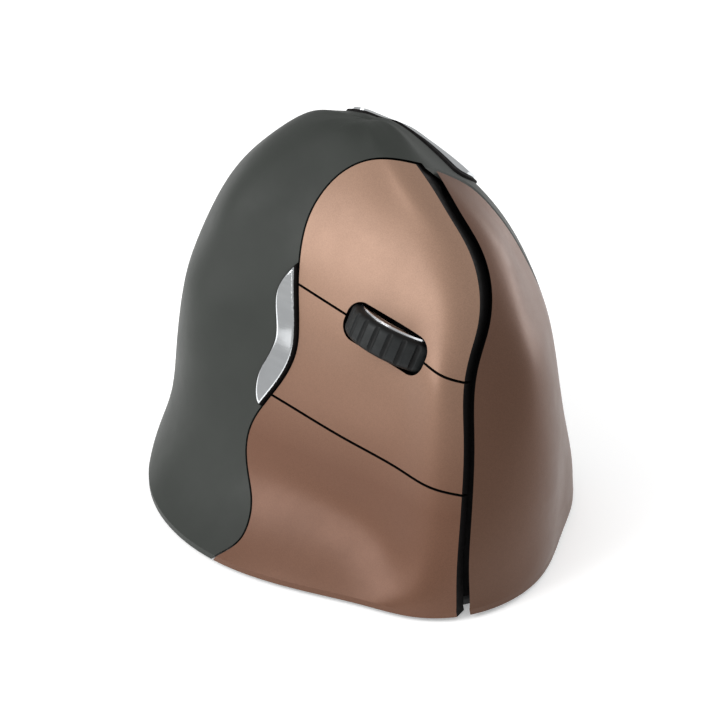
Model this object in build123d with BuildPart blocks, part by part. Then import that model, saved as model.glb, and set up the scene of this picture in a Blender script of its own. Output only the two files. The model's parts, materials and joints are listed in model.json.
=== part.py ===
from build123d import *
from math import cos, radians, sin, sqrt
import os

# Vertical ergonomic mouse for the right hand, free of a cord, standing on its glide feet.
# +Z is up, +Y points to the nose, +X is the side that the fingers lie on, -X the thumb side.
# The origin is on the desk, under the middle of the body. All lengths are in millimetres.

# Body size
half_width = 43.0
half_length = 51.5
body_height = 81.0
# The underside of the body hangs this high above the desk
floor_height = 0.9
# Wall of the shell, the panels and the buttons
wall = 2.0
# One overrun serves every cut that must pass clean through
overrun = 0.5

# Outlines of the body at rising heights, in shares of the body height. Below the lowest one the
# body goes straight down to the floor height, which makes its upright bottom edge.
level_shares = (0.028, 0.086, 0.160, 0.270, 0.420, 0.570, 0.700, 0.815, 0.900, 0.963)
# The topmost point of the body, in shares of the half width and the half length
apex_shares = (-0.42, -0.21)
# Upright lines on the body surface, one after the other around the body. Each has one place
# per level from the bottom up, in shares of the half width and the half length.
thumb_front_shares = (
    (-0.62, 0.74), (-0.62, 0.73), (-0.615, 0.71), (-0.605, 0.66), (-0.59, 0.60), (-0.615, 0.53),
    (-0.63, 0.425), (-0.602, 0.302), (-0.556, 0.152), (-0.52, -0.03))
thumb_fore_shares = (
    (-0.90, 0.41), (-0.885, 0.40), (-0.84, 0.39), (-0.76, 0.37), (-0.68, 0.325), (-0.68, 0.273),
    (-0.69, 0.215), (-0.657, 0.156), (-0.60, 0.06), (-0.535, -0.10))
thumb_middle_shares = (
    (-0.98, -0.02), (-0.96, -0.02), (-0.90, -0.02), (-0.785, -0.02), (-0.68, -0.02),
    (-0.68, -0.028), (-0.703, -0.038), (-0.68, -0.057), (-0.62, -0.096), (-0.545, -0.18))
thumb_rear_shares = (
    (-0.94, -0.446), (-0.925, -0.436), (-0.855, -0.417), (-0.76, -0.397), (-0.68, -0.378),
    (-0.68, -0.378), (-0.692, -0.368), (-0.668, -0.358), (-0.615, -0.34), (-0.54, -0.32))
rear_thumb_shares = (
    (-0.715, -0.805), (-0.703, -0.785), (-0.668, -0.756), (-0.622, -0.737), (-0.60, -0.727),
    (-0.60, -0.708), (-0.60, -0.67), (-0.587, -0.61), (-0.55, -0.54), (-0.495, -0.44))
rear_shares = (
    (-0.25, -0.99), (-0.25, -0.98), (-0.25, -0.955), (-0.26, -0.935), (-0.27, -0.925),
    (-0.285, -0.90), (-0.305, -0.853), (-0.335, -0.77), (-0.37, -0.65), (-0.385, -0.535))
rear_palm_shares = (
    (0.285, -0.931), (0.262, -0.921), (0.227, -0.892), (0.192, -0.873), (0.157, -0.863),
    (0.105, -0.84), (0.02, -0.787), (-0.085, -0.717), (-0.195, -0.625), (-0.28, -0.505))
palm_shares = (
    (0.715, -0.679), (0.61, -0.669), (0.517, -0.669), (0.448, -0.669), (0.40, -0.669),
    (0.33, -0.66), (0.213, -0.63), (0.10, -0.595), (-0.055, -0.52), (-0.21, -0.425))
finger_rear_shares = (
    (0.958, -0.193), (0.773, -0.222), (0.634, -0.222), (0.53, -0.232), (0.413, -0.251),
    (0.31, -0.271), (0.21, -0.29), (0.09, -0.30), (-0.065, -0.30), (-0.205, -0.28))
finger_middle_shares = (
    (0.915, 0.212), (0.762, 0.215), (0.622, 0.215), (0.541, 0.215), (0.436, 0.205),
    (0.331, 0.176), (0.215, 0.137), (0.076, 0.079), (-0.087, -0.009), (-0.235, -0.13))
finger_front_shares = (
    (0.835, 0.494), (0.727, 0.506), (0.634, 0.506), (0.564, 0.50), (0.459, 0.477), (0.343, 0.438),
    (0.215, 0.36), (0.064, 0.253), (-0.10, 0.127), (-0.245, -0.05))
crease_shares = (
    (0.772, 0.706), (0.733, 0.718), (0.665, 0.71), (0.588, 0.695), (0.486, 0.65), (0.375, 0.60),
    (0.19, 0.565), (-0.01, 0.455), (-0.126, 0.233), (-0.26, 0.0))
slot_edge_shares = (
    (0.635, 0.86), (0.614, 0.847), (0.58, 0.83), (0.516, 0.80), (0.41, 0.75), (0.284, 0.683),
    (0.07, 0.635), (-0.121, 0.495), (-0.22, 0.278), (-0.305, 0.04))
nose_shares = (
    (0.184, 0.982), (0.184, 0.98), (0.177, 0.97), (0.145, 0.951), (0.08, 0.90), (-0.012, 0.806),
    (-0.13, 0.67), (-0.25, 0.50), (-0.325, 0.27), (-0.37, 0.05))
nose_thumb_shares = (
    (-0.257, 0.88), (-0.257, 0.878), (-0.267, 0.87), (-0.284, 0.849), (-0.32, 0.796),
    (-0.372, 0.705), (-0.425, 0.56), (-0.45, 0.405), (-0.45, 0.21), (-0.44, 0.02))
body_rails = (
    thumb_front_shares, thumb_fore_shares, thumb_middle_shares, thumb_rear_shares,
    rear_thumb_shares, rear_shares, rear_palm_shares, palm_shares, finger_rear_shares,
    finger_middle_shares, finger_front_shares, crease_shares, slot_edge_shares, nose_shares,
    nose_thumb_shares)
level_heights = [share * body_height for share in level_shares]
# Roof of an inner form: how far its outline is drawn towards the apex, and its drop for each
# unit of inset
roof_share = 0.55
roof_drop_share = 0.8
# Where the surface leans over, an inner skin is drawn in by more, up to this many times
steepest_lean = 1.5

# Finger face: the plane that the fingers lie on. It leans back from the upright and its place
# is given in shares of the half width, the half length and the body height.
face_tilt = 25
face_origin_shares = (0.333, 0.272, 0.605)
# How far prisms drawn on the finger face reach above it and below it
face_reach_out = 10.0
face_reach_in = 20.0
# The buttons end earlier, so that they stay free of the shell when they are pressed
button_reach_in = 16.0

# Seams. Places on the finger face are in shares of the half length and the body height.
seam_gap = 0.45
button_gap = 0.55
finger_seam_shares = (
    (-0.495, -0.728), (-0.454, -0.667), (-0.392, -0.609), (-0.400, -0.557), (-0.435, -0.506),
    (-0.499, -0.442), (-0.538, -0.370), (-0.534, -0.321), (-0.497, -0.259), (-0.466, -0.220),
    (-0.416, -0.144), (-0.400, -0.073), (-0.416, -0.007), (-0.450, 0.067), (-0.474, 0.131),
    (-0.491, 0.198), (-0.497, 0.259), (-0.485, 0.323), (-0.447, 0.383), (-0.373, 0.430),
    (-0.278, 0.452), (-0.167, 0.457))
finger_zone_front_share = 0.90
upper_seam_shares = (
    (-0.583, 0.100), (-0.450, 0.0805), (-0.204, 0.051), (0.010, 0.027), (0.219, 0.004),
    (0.320, -0.011), (0.408, -0.0135), (0.62, -0.007))
lower_seam_shares = (
    (-0.583, -0.215), (-0.472, -0.226), (-0.050, -0.264), (0.233, -0.285), (0.377, -0.295),
    (0.437, -0.295), (0.62, -0.284))
zone_top_share = 0.60
zone_bottom_share = -0.80
# The dark slot between the buttons and the nose panel, on the finger face, from the bottom up.
# It narrows towards its top by the taper share.
slot_width = 2.0
slot_taper_share = 0.4
slot_reach_in = 19.0
slot_shares = (
    (0.602, -0.691), (0.590, -0.593), (0.557, -0.456), (0.536, -0.365), (0.515, -0.285),
    (0.468, -0.151), (0.408, -0.011), (0.390, 0.058), (0.373, 0.121), (0.303, 0.225),
    (0.206, 0.300), (0.070, 0.367), (-0.041, 0.414), (-0.148, 0.454), (-0.272, 0.496),
    (-0.466, 0.556))
slot_zone_rear_share = -0.90
# The seam between the nose panel and the shell, seen from the side: shares of the half length
# and the body height
nose_seam_shares = (
    (0.715, -0.037), (0.711, 0.123), (0.699, 0.247), (0.680, 0.370), (0.641, 0.494),
    (0.573, 0.617), (0.485, 0.722), (0.369, 0.815), (0.223, 0.891), (0.124, 0.944),
    (0.058, 0.981), (-0.019, 1.031))
# Tongue of the nose panel that reaches behind the edge of the shell
tongue_reach = 3.0
tongue_wall = 1.2
tongue_play = 0.06

# Chrome side trim: its outer edge and the side that the finger seam cuts away
trim_shares = (
    (-0.474, 0.141), (-0.524, 0.096), (-0.546, 0.048), (-0.528, -0.012), (-0.509, -0.074),
    (-0.540, -0.148), (-0.553, -0.210), (-0.517, -0.262), (-0.437, -0.222), (-0.379, -0.100),
    (-0.398, 0.037), (-0.437, 0.123))
trim_rise = 1.0
trim_round = 0.8
trim_depth = 0.9
trim_play = 0.12
pocket_play = 0.03

# Chrome top plate on the ridge, towards the thumb
plate_origin_shares = (-0.575, -0.075, 0.925)
plate_normal = (-0.70, 0.10, 0.70)
plate_along = (-0.106, 0.953, -0.242)
plate_length = 33.0
plate_breadth = 10.0
plate_rise = 0.5
plate_crown_rise = 1.0
plate_crown_inset = 0.9
plate_depth = 0.5
plate_reach = 12.0
plate_play = 0.15

# Wheel
wheel_radius = 12.3
wheel_width = 6.6
wheel_rise = 5.2
wheel_turn = -9.9
wheel_place_shares = (0.010, 0.027)
face_skin_depth_share = 0.028
tyre_wall = 2.2
tyre_shoulder = 1.5
groove_count = 24
groove_radius = 0.75
groove_lift = 0.3
hub_boss_radius = 3.0
hub_rim = 1.6
hub_web = 1.6
code_slot_count = 24
code_slot_middle = 7.0
code_slot_length = 2.2
code_slot_width = 0.8
wheel_ring_inner = 8.9
wheel_ring_outer = 10.7
wheel_ring_height = 0.5
axle_radius = 1.0
axle_length = 13.2
opening_length = 21.8
opening_width = 8.7
opening_corner = 3.6
opening_lip = 0.8
opening_relief_length = 25.2
opening_relief_width = 9.4

# Fits
running_fit = 0.05
part_play = 0.3

# Wheel carrier, which rocks about a pin at its rear
carrier_thickness = 3.2
carrier_inner_length = 26.4
carrier_inner_width = 8.6
carrier_rim = 2.0
carrier_pivot_reach = 17.6
carrier_lug_width = 6.0
carrier_lug_radius = 1.7
carrier_tongue_reach = 17.9
carrier_tongue_width = 5.0
carrier_tongue_thickness = 1.2

# Button hinges
hinge_line_share = -0.431
pin_radius = 0.75
lug_radius = 1.5
lug_length = 6.0
arm_thickness = 2.4
arm_play = 0.3
index_hinge_share = 0.173
middle_hinge_share = -0.074
ring_hinge_share = -0.370
index_hinge_depth = 6.6
middle_hinge_depth = 7.0
ring_hinge_depth = 8.2
lug_front = 3.2
middle_lug_front = 5.0
lug_rise_back = 1.8
tight_fit = 0.02

# Upright board and upright frame behind the finger face
board_thickness = 1.6
upright_board_depth = 14.2
frame_depth = 18.1
frame_thickness = 2.0
upright_board_shares = ((-0.379, -0.444), (0.408, -0.444), (0.408, 0.037), (0.184, 0.216),
                        (0.06, 0.228), (-0.379, 0.228))
upright_frame_shares = ((-0.474, -0.560), (0.388, -0.560), (0.388, 0.067), (0.175, 0.247),
                        (-0.474, 0.247))
board_window_length = 26.0
board_window_width = 10.4
frame_window_length = 31.0
frame_window_width = 20.0
carrier_slot_length = 10.0
carrier_slot_width = 13.0
flange_thickness = 1.8
flange_inner = 12.4
flange_outer = 22.4
ribbon_window_length = 12.0
ribbon_window_height = 7.0
ribbon_window_shares = (0.185, -0.407)
frame_post_radius = 1.8
frame_post_shares = ((-0.291, -0.383), (0.350, -0.401), (-0.282, 0.198))
frame_window_corner = 1.5
flange_screw_shares = ((0.470, -0.08), (0.470, 0.54))
flange_screw_length = 3.2
frame_screw_length = 3.2

# Switches under the three buttons
switch_length = 12.8
switch_width = 5.8
switch_height = 5.6
plunger_length = 2.9
plunger_width = 1.2
plunger_rise = 0.7
index_switch_shares = (0.040, 0.160)
middle_switch_shares = (0.175, -0.136)
ring_switch_shares = (0.175, -0.346)
rib_length = 4.0
rib_width = 2.4
switch_edge = 0.3
plunger_play = 0.15
plunger_sink = 0.9

# Wheel switch
click_switch_side = 6.0
click_switch_height = 1.6
click_plunger_radius = 1.5
click_switch_reach = 16.4
click_switch_corner = 0.5
click_well_depth = 1.35
click_plunger_sink = 0.4

# Wheel encoder: a light on one side of the hub and a sensor on the other
encoder_part_length = 4.4
encoder_part_width = 2.6
encoder_part_height = 4.0
encoder_part_reach = 6.9

# Slot liner: the dark strip seen through the slot
liner_inset = 3.4
liner_wall = 0.9
liner_side = 2.4
liner_glue_start = 1.3
liner_seat_inset = 2.05

# Base plate
base_thickness = 2.0
base_play = 0.25
base_button_inset = 3.7
base_bevel = 0.3

# Glide feet: shares of the half width and the half length, then the turn of each foot
foot_length = 18.0
foot_width = 5.0
foot_recess = 0.3
foot_play = 0.15
foot_places_shares = ((0.12, 0.800, 0), (-0.18, -0.870, 0), (-0.83, -0.04, 90), (0.70, 0.02, 90))

# Base screws: three into the shell, one into the nose panel
shell_boss_shares = ((-0.72, 0.39), (-0.72, -0.43), (0.30, -0.735))
nose_boss_shares = ((-0.28, 0.76),)
boss_radius = 3.0
shell_boss_top = 25.0
nose_boss_top = 34.0
boss_skin_inset = 0.8
pilot_radius = 1.0
screw_hole_radius = 1.3
screw_length = 8.0
screw_head_radius = 2.2
screw_head_height = 1.1
screw_head_sink = 0.2
screw_head_play = 0.2
cross_length = 2.6
cross_width = 0.6
cross_depth = 0.6
cross_head_share = 1.2

# Battery, its tub in the base plate, its contacts and its door
cell_radius = 7.25
cell_length = 49.5
nub_radius = 2.7
nub_length = 1.0
cell_edge = 0.6
cell_x_share = -0.395
cell_y_share = -0.097
cell_lift = 3.2
tub_wall = 1.2
tub_play = 0.5
spring_room = 3.6
contact_thickness = 0.4
contact_width = 9.0
contact_height = 10.0
spring_wire_radius = 0.3
spring_wide_radius = 3.2
spring_turns = 3
door_length = 54.0
door_width = 15.4
door_thickness = 1.4
door_play = 0.25
door_ledge = 1.0
door_ledge_play = 0.15
door_tab_length = 1.6
door_tab_thickness = 0.7
door_grip_width = 8.0
door_grip_gap = 1.8
door_grip_bar = 0.7
door_grip_depth = 0.4
door_grip_count = 4
door_grip_inset = 7.0

# Main board and what stands on it
main_board_lift = 6.2
main_board_left = -7.4
main_board_right = 12.5
main_board_rear = -30.0
main_board_front = 33.0
main_board_corner = 2.0
board_post_radius = 2.0
board_post_inset = 2.6
board_screw_radius = 0.9
board_screw_head_radius = 1.7
board_screw_head_height = 0.9
board_screw_length = 4.5

# Sensor and lens
sensor_x_share = 0.06
sensor_y_share = 0.165
lens_length = 17.0
lens_width = 9.6
lens_thickness = 1.4
lens_barrel_radius = 3.0
lens_floor_gap = 0.5
sensor_window_length = 9.6
sensor_window_width = 7.0
sensor_chip_length = 12.0
sensor_chip_width = 8.6
sensor_chip_height = 2.2
sensor_hole_length = 8.0
sensor_hole_width = 5.2
lens_shelf_gap = 0.2

# Chips
controller_side = 7.0
controller_height = 0.9
controller_share = (0.05, -0.20)
radio_length = 9.0
radio_width = 6.0
radio_height = 1.1
radio_share = (0.04, -0.44)
crystal_length = 4.5
crystal_width = 2.0
crystal_height = 1.3
crystal_share = (0.20, -0.36)

# Power switch and pairing button on the underside
power_x_share = 0.235
power_y_share = -0.175
power_travel = 3.0
power_body_length = 9.0
power_body_width = 4.4
power_body_height = 2.0
power_knob_length = 3.2
power_knob_width = 2.6
power_slot_play = 0.25
power_recess = 0.5
power_recess_length = 11.0
power_recess_width = 5.6
power_knob_sink = 0.2
power_stem_side = 1.6
pair_x_share = 0.02
pair_y_share = -0.32
pair_radius = 1.8
pair_play = 0.2
pair_flange_radius = 2.7
pair_flange_thickness = 0.6
pair_switch_side = 4.6
pair_switch_height = 1.0
pair_recess = 0.3
pair_stem_sink = 0.1

# Thumb side: two thumb buttons, a pointer speed button and an indicator lens, placed in shares
# of the half length and the body height
thumb_button_length = 15.8
thumb_button_width = 6.2
thumb_button_rise = 0.9
thumb_button_play = 0.3
thumb_button_turn = -4
forward_shares = (0.255, 0.640)
back_shares = (-0.085, 0.655)
speed_shares = (0.22, 0.500)
speed_length = 8.0
speed_width = 4.0
speed_rise = 0.7
lens_strip_shares = (-0.06, 0.510)
lens_strip_length = 8.0
lens_strip_width = 1.8
lens_strip_rise = 0.1
thumb_flange = 0.6
thumb_flange_wall = 0.9
thumb_flange_gap = 0.15
thumb_board_x_share = -0.49
thumb_board_rear_share = -0.28
thumb_board_front_share = 0.42
thumb_board_bottom_share = 0.42
thumb_board_top_share = 0.70
thumb_post_shares = ((-0.21, 0.47), (0.36, 0.455))
thumb_post_radius = 2.0
thumb_switch_side = 6.0
thumb_switch_height = 2.6
thumb_plunger_radius = 1.4
thumb_plunger_rise = 0.8
thumb_stem_radius = 1.3
thumb_stem_length = 3.0
thumb_board_clear = 1.0
thumb_lamp_side = 2.4
thumb_lamp_height = 1.0

# Flat ribbons
ribbon_width = 8.0
ribbon_thickness = 0.3
connector_width = 9.6
connector_depth = 3.0
connector_height = 2.4
upright_ribbon_share = (0.13, 0)
thumb_ribbon_share = (-0.08, 0.14)
ribbon_bow_share = 0.35


def centre_of(shares):
    """Place in plan from shares of the half width and the half length."""
    return (shares[0] * half_width, shares[1] * half_length)


def on_face(shares):
    """Place on the finger face from shares of the half length and the body height."""
    return (shares[0] * half_length, shares[1] * body_height)


def outline_at(level, inset):
    """Closed outline of the body at one level, drawn in by the inset square to the skin."""
    places = [centre_of(rail[level]) for rail in body_rails]
    under = max(level - 1, 0)
    over = min(level + 1, len(level_heights) - 1)
    climb = level_heights[over] - level_heights[under]
    outline = []
    for index, place in enumerate(places):
        before = places[index - 1]
        after = places[(index + 1) % len(places)]
        run = (after[0] - before[0], after[1] - before[1])
        reach = sqrt(run[0] ** 2 + run[1] ** 2)
        outward = (run[1] / reach, -run[0] / reach)
        low = centre_of(body_rails[index][under])
        high = centre_of(body_rails[index][over])
        lean = ((high[0] - low[0]) * outward[0] + (high[1] - low[1]) * outward[1]) / climb
        drawn_in = inset * min(sqrt(1 + lean ** 2), steepest_lean)
        outline.append((place[0] - drawn_in * outward[0], place[1] - drawn_in * outward[1]))
    return outline


def roof_outline():
    """Outline of the flat roof of an inner form: the top outline drawn towards the apex."""
    apex = centre_of(apex_shares)
    outline = []
    for rail in body_rails:
        place = centre_of(rail[-1])
        outline.append((apex[0] + roof_share * (place[0] - apex[0]),
                        apex[1] + roof_share * (place[1] - apex[1])))
    return outline


# Forms already made, by their inset
ready_forms = {}


def body_form(inset):
    """Solid in the shape of the body, drawn in by the inset all around. An inner form ends in a
    flat roof."""
    if inset in ready_forms:
        return ready_forms[inset]
    sections = [(height, outline_at(level, inset)) for level, height in enumerate(level_heights)]
    if inset > 0:
        sections[-1] = (level_heights[-1] - roof_drop_share * inset, roof_outline())
    faces = []
    for height, places in sections:
        with BuildSketch(Plane.XY.offset(height)) as outline:
            with BuildLine():
                Spline(*places, periodic=True)
            make_face()
        faces.append(outline.sketch.face())
    ends = []
    if inset <= 0:
        apex = centre_of(apex_shares)
        ends.append(Vertex(apex[0], apex[1], body_height - inset))
    with BuildPart() as form:
        loft(sections=[*faces, *ends])
        extrude(faces[0], amount=floor_height - level_heights[0])
    ready_forms[inset] = form.part
    return form.part


tilt = radians(face_tilt)
face_outward = Vector(cos(tilt), 0, sin(tilt))
face_plane = Plane(
    origin=(face_origin_shares[0] * half_width, face_origin_shares[1] * half_length,
            face_origin_shares[2] * body_height),
    x_dir=(0, 1, 0), z_dir=face_outward)


def face_prism(sketch_face, low, high):
    """Prism that stands square on the finger face between two distances from it."""
    with BuildPart() as prism:
        with BuildSketch(face_plane.offset(low)):
            add(sketch_face)
        extrude(amount=high - low)
    return prism.part


def moved_aside(places, shift):
    """Places of an open line, each moved square to the line and to its left by the shift."""
    moved = []
    for index, place in enumerate(places):
        before = places[max(index - 1, 0)]
        after = places[min(index + 1, len(places) - 1)]
        run = (after[0] - before[0], after[1] - before[1])
        reach = sqrt(run[0] ** 2 + run[1] ** 2)
        moved.append((place[0] - shift * run[1] / reach, place[1] + shift * run[0] / reach))
    return moved


def behind_slot(shift):
    """Finger face on the rear side of the slot line, grown forward over it by the shift."""
    places = [on_face(share) for share in slot_shares]
    tapered = []
    for index, place in enumerate(places):
        narrowing = 1 - slot_taper_share * index / (len(places) - 1)
        tapered.append(moved_aside(places, -shift * narrowing)[index])
    with BuildSketch() as zone:
        with BuildLine():
            slot_line = Spline(*tapered)
            rear = slot_zone_rear_share * half_length
            Polyline(slot_line @ 1, (rear, (slot_line @ 1).Y), (rear, (slot_line @ 0).Y),
                     slot_line @ 0)
        make_face()
    return zone.sketch


def finger_zone(growth, shift):
    """Finger face between the finger seam and the slot, grown over the seam by the growth and
    over the slot line by the shift."""
    with BuildSketch() as zone:
        with BuildLine():
            seam_line = Spline(*moved_aside([on_face(share) for share in finger_seam_shares], growth))
            front = finger_zone_front_share * half_length
            Polyline(seam_line @ 1, (front, (seam_line @ 1).Y), (front, (seam_line @ 0).Y),
                     seam_line @ 0)
        make_face()
        add(behind_slot(shift), mode=Mode.INTERSECT)
    return zone.sketch


def band_between(lower, upper):
    """Zone of the finger face between two seams, each half a button gap away."""
    rise = button_gap / 2
    with BuildSketch() as band:
        with BuildLine():
            if lower:
                low_line = Spline(*[(on_face(s)[0], on_face(s)[1] + rise) for s in lower])
            else:
                low = zone_bottom_share * body_height
                ends = (on_face(upper[0])[0], on_face(upper[-1])[0])
                low_line = Line((ends[0], low), (ends[1], low))
            if upper:
                high_line = Spline(*[(on_face(s)[0], on_face(s)[1] - rise) for s in upper])
            else:
                high = zone_top_share * body_height
                ends = (on_face(lower[0])[0], on_face(lower[-1])[0])
                high_line = Line((ends[0], high), (ends[1], high))
            Line(low_line @ 0, high_line @ 0)
            Line(low_line @ 1, high_line @ 1)
        make_face()
    return band.sketch


def before_nose_seam(shift):
    """Solid in front of the nose seam, moved forward by the shift."""
    front = half_length + face_reach_out
    with BuildPart() as side:
        with BuildSketch(Plane.YZ.offset(-half_width - face_reach_out)):
            with BuildLine():
                line = Spline(*[(share[0] * half_length + shift, share[1] * body_height)
                                for share in nose_seam_shares])
                Polyline(line @ 1, (front, (line @ 1).Y), (front, (line @ 0).Y), line @ 0)
            make_face()
        extrude(amount=2 * (half_width + face_reach_out))
    return side.part


def button_zone(lower, upper):
    """Prism of one button: between two seams, behind the slot and in front of the finger seam."""
    with BuildSketch() as zone:
        add(finger_zone(0, -slot_width / 2))
        add(band_between(lower, upper), mode=Mode.INTERSECT)
    return face_prism(zone.sketch, -button_reach_in, face_reach_out)


body_solid = body_form(0)
hollow_solid = body_form(wall)
finger_cut = face_prism(finger_zone(seam_gap, 0), -face_reach_in, face_reach_out)
nose_cut_rear = face_prism(behind_slot(-slot_width / 2), -slot_reach_in, face_reach_out)
nose_panel_rear = face_prism(behind_slot(slot_width / 2), -slot_reach_in, face_reach_out)

# The skin that the shell, the nose panel and the buttons are cut from
with BuildPart() as skin:
    add(body_solid)
    add(hollow_solid, mode=Mode.SUBTRACT)


def form_layer(outer_inset, inner_inset):
    """Layer of the body between two insets."""
    with BuildPart() as layer:
        add(body_form(outer_inset))
        add(body_form(inner_inset), mode=Mode.SUBTRACT)
    return layer.part


def slab(low, high):
    """Flat slab over the whole body between two heights."""
    with BuildPart() as block:
        with BuildSketch(Plane.XY.offset(low)):
            Rectangle(2 * (half_width + face_reach_out), 2 * (half_length + face_reach_out))
        extrude(amount=high - low)
    return block.part


def largest_of(shape):
    """The largest solid of a shape."""
    return shape.solids().sort_by(SortBy.VOLUME)[-1]


# Inner form that ribs, bosses and lugs are trimmed to, so that they end inside the wall
rib_form = body_form(boss_skin_inset)

# Places of the wheel: its plane lies on the axle, with its first direction along the roll
turn = radians(wheel_turn)
wheel_forward = face_plane.x_dir * cos(turn) + face_plane.y_dir * sin(turn)
wheel_depth = wheel_rise - wheel_radius - face_skin_depth_share * half_width
wheel_place = on_face(wheel_place_shares)
wheel_centre = face_plane.from_local_coords((wheel_place[0], wheel_place[1], wheel_depth))
wheel_plane = Plane(origin=wheel_centre, x_dir=wheel_forward, z_dir=face_outward)
# Plane whose normal is the wheel axle
wheel_side_plane = Plane(origin=wheel_centre, x_dir=wheel_forward, z_dir=wheel_plane.y_dir)
hinge_line = hinge_line_share * half_length
board_top = board_thickness - upright_board_depth
frame_top = frame_thickness - frame_depth


def face_box(u_range, v_range, w_range):
    """Block with its sides along the finger face: ranges along it, up it and out of it."""
    with BuildPart() as block:
        with BuildSketch(face_plane.offset(w_range[0])):
            with Locations(((u_range[0] + u_range[1]) / 2, (v_range[0] + v_range[1]) / 2)):
                Rectangle(u_range[1] - u_range[0], v_range[1] - v_range[0])
        extrude(amount=w_range[1] - w_range[0])
    return block.part


def wheel_box(long_range, side_range, out_range):
    """Block with its sides along the wheel: ranges along the roll, the axle and outward."""
    with BuildPart() as block:
        with BuildSketch(wheel_plane.offset(out_range[0])):
            with Locations(((long_range[0] + long_range[1]) / 2,
                            (side_range[0] + side_range[1]) / 2)):
                Rectangle(long_range[1] - long_range[0], side_range[1] - side_range[0])
        extrude(amount=out_range[1] - out_range[0])
    return block.part


def rod(plane, radius, length):
    """Round rod that starts on a plane and runs along its normal."""
    with BuildPart() as bar:
        with BuildSketch(plane):
            Circle(radius)
        extrude(amount=length)
    return bar.part


def hinge_plane(height, depth):
    """Plane square to a button's hinge line, at the middle of its lug."""
    return Plane(origin=face_plane.from_local_coords((hinge_line, height, -depth)),
                 x_dir=(0, 1, 0), z_dir=face_plane.y_dir)


hinges = {
    "index": (index_hinge_share * body_height, index_hinge_depth, lug_front),
    "middle": (middle_hinge_share * body_height, middle_hinge_depth, middle_lug_front),
    "ring": (ring_hinge_share * body_height, ring_hinge_depth, lug_front)}
switch_places = {
    "index": on_face(index_switch_shares),
    "middle": on_face(middle_switch_shares),
    "ring": on_face(ring_switch_shares)}
plunger_top = board_top + switch_height + plunger_rise


def lug_of(finger):
    """Hinge lug and switch rib of a button, before they are trimmed to the skin."""
    height, depth, front = hinges[finger]
    place = switch_places[finger]
    half_lug = lug_length / 2
    rise_start = hinge_line - lug_radius
    if finger == "middle":
        rise_start = hinge_line + lug_rise_back
    with BuildPart() as lug:
        with BuildSketch(hinge_plane(height, depth).offset(-half_lug)):
            Circle(lug_radius)
            with Locations((front / 2, 0)):
                Rectangle(front, 2 * lug_radius)
        extrude(amount=lug_length)
        add(face_box((rise_start, hinge_line + front), (height - half_lug, height + half_lug),
                     (-depth, 0)))
        add(face_box((place[0] - rib_length / 2, place[0] + rib_length / 2),
                     (place[1] - rib_width / 2, place[1] + rib_width / 2), (plunger_top, 0)))
        add(rib_form, mode=Mode.INTERSECT)
        pin_start = hinge_plane(height, depth).offset(-lug_length)
        add(rod(pin_start, pin_radius + running_fit, 2 * lug_length), mode=Mode.SUBTRACT)
    return lug.part


# Opening for the wheel, through the index and middle buttons
with BuildPart() as wheel_opening:
    with BuildSketch(wheel_plane):
        RectangleRounded(opening_length, opening_width, opening_corner)
    extrude(amount=face_reach_in)
    with BuildSketch(wheel_plane):
        RectangleRounded(opening_relief_length, opening_relief_width, opening_corner)
    extrude(amount=wheel_radius - wheel_rise - opening_lip)

# The three buttons on the finger face
button_seams = {
    "index": (upper_seam_shares, None),
    "middle": (lower_seam_shares, upper_seam_shares),
    "ring": (None, lower_seam_shares)}


def button_of(finger):
    """One button: a panel of the skin with its hinge lug and its switch rib."""
    lower, upper = button_seams[finger]
    with BuildPart() as panel:
        add(skin.part)
        add(button_zone(lower, upper), mode=Mode.INTERSECT)
    with BuildPart() as button:
        add(largest_of(panel))
        if finger != "ring":
            add(wheel_opening.part, mode=Mode.SUBTRACT)
        add(lug_of(finger))
    return button.part


index_button = button_of("index")
middle_button = button_of("middle")
ring_button = button_of("ring")


def trim_prism(growth):
    """Prism of the chrome side trim on the finger face, grown all around."""
    places = [on_face(share) for share in trim_shares]
    grown = []
    for index, place in enumerate(places):
        before = places[index - 1]
        after = places[(index + 1) % len(places)]
        run = (after[0] - before[0], after[1] - before[1])
        reach = sqrt(run[0] ** 2 + run[1] ** 2)
        grown.append((place[0] + growth * run[1] / reach, place[1] - growth * run[0] / reach))
    with BuildSketch() as zone:
        with BuildLine():
            Spline(*grown, periodic=True)
        make_face()
    return face_prism(zone.sketch, -face_reach_in, face_reach_out)


# Chrome side trim beside the index and middle buttons
with BuildPart() as chrome_side_trim:
    add(body_form(-trim_rise))
    add(trim_prism(0), mode=Mode.INTERSECT)
    add(finger_cut, mode=Mode.SUBTRACT)
    add(body_form(trim_depth), mode=Mode.SUBTRACT)
    broad_faces = chrome_side_trim.faces().sort_by(SortBy.AREA)[-2:]
    front_face = broad_faces.sort_by(Axis(origin=(0, 0, 0), direction=face_outward))[-1]
    fillet(front_face.edges(), trim_round)

# Chrome plate on the ridge, with a raised crown
plate_plane = Plane(
    origin=(plate_origin_shares[0] * half_width, plate_origin_shares[1] * half_length,
            plate_origin_shares[2] * body_height),
    x_dir=plate_along, z_dir=plate_normal)


def plate_prism(growth):
    """Prism of the top plate, grown all around."""
    with BuildPart() as prism:
        with BuildSketch(plate_plane.offset(-plate_reach)):
            SlotOverall(plate_length + 2 * growth, plate_breadth + 2 * growth)
        extrude(amount=2 * plate_reach)
    return prism.part


with BuildPart() as plate_crown:
    add(body_form(-plate_crown_rise))
    add(plate_prism(-plate_crown_inset), mode=Mode.INTERSECT)
    add(body_solid, mode=Mode.SUBTRACT)
with BuildPart() as top_plate:
    add(body_form(-plate_rise))
    add(plate_prism(0), mode=Mode.INTERSECT)
    add(body_form(plate_depth), mode=Mode.SUBTRACT)
    add(plate_crown.part)

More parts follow.
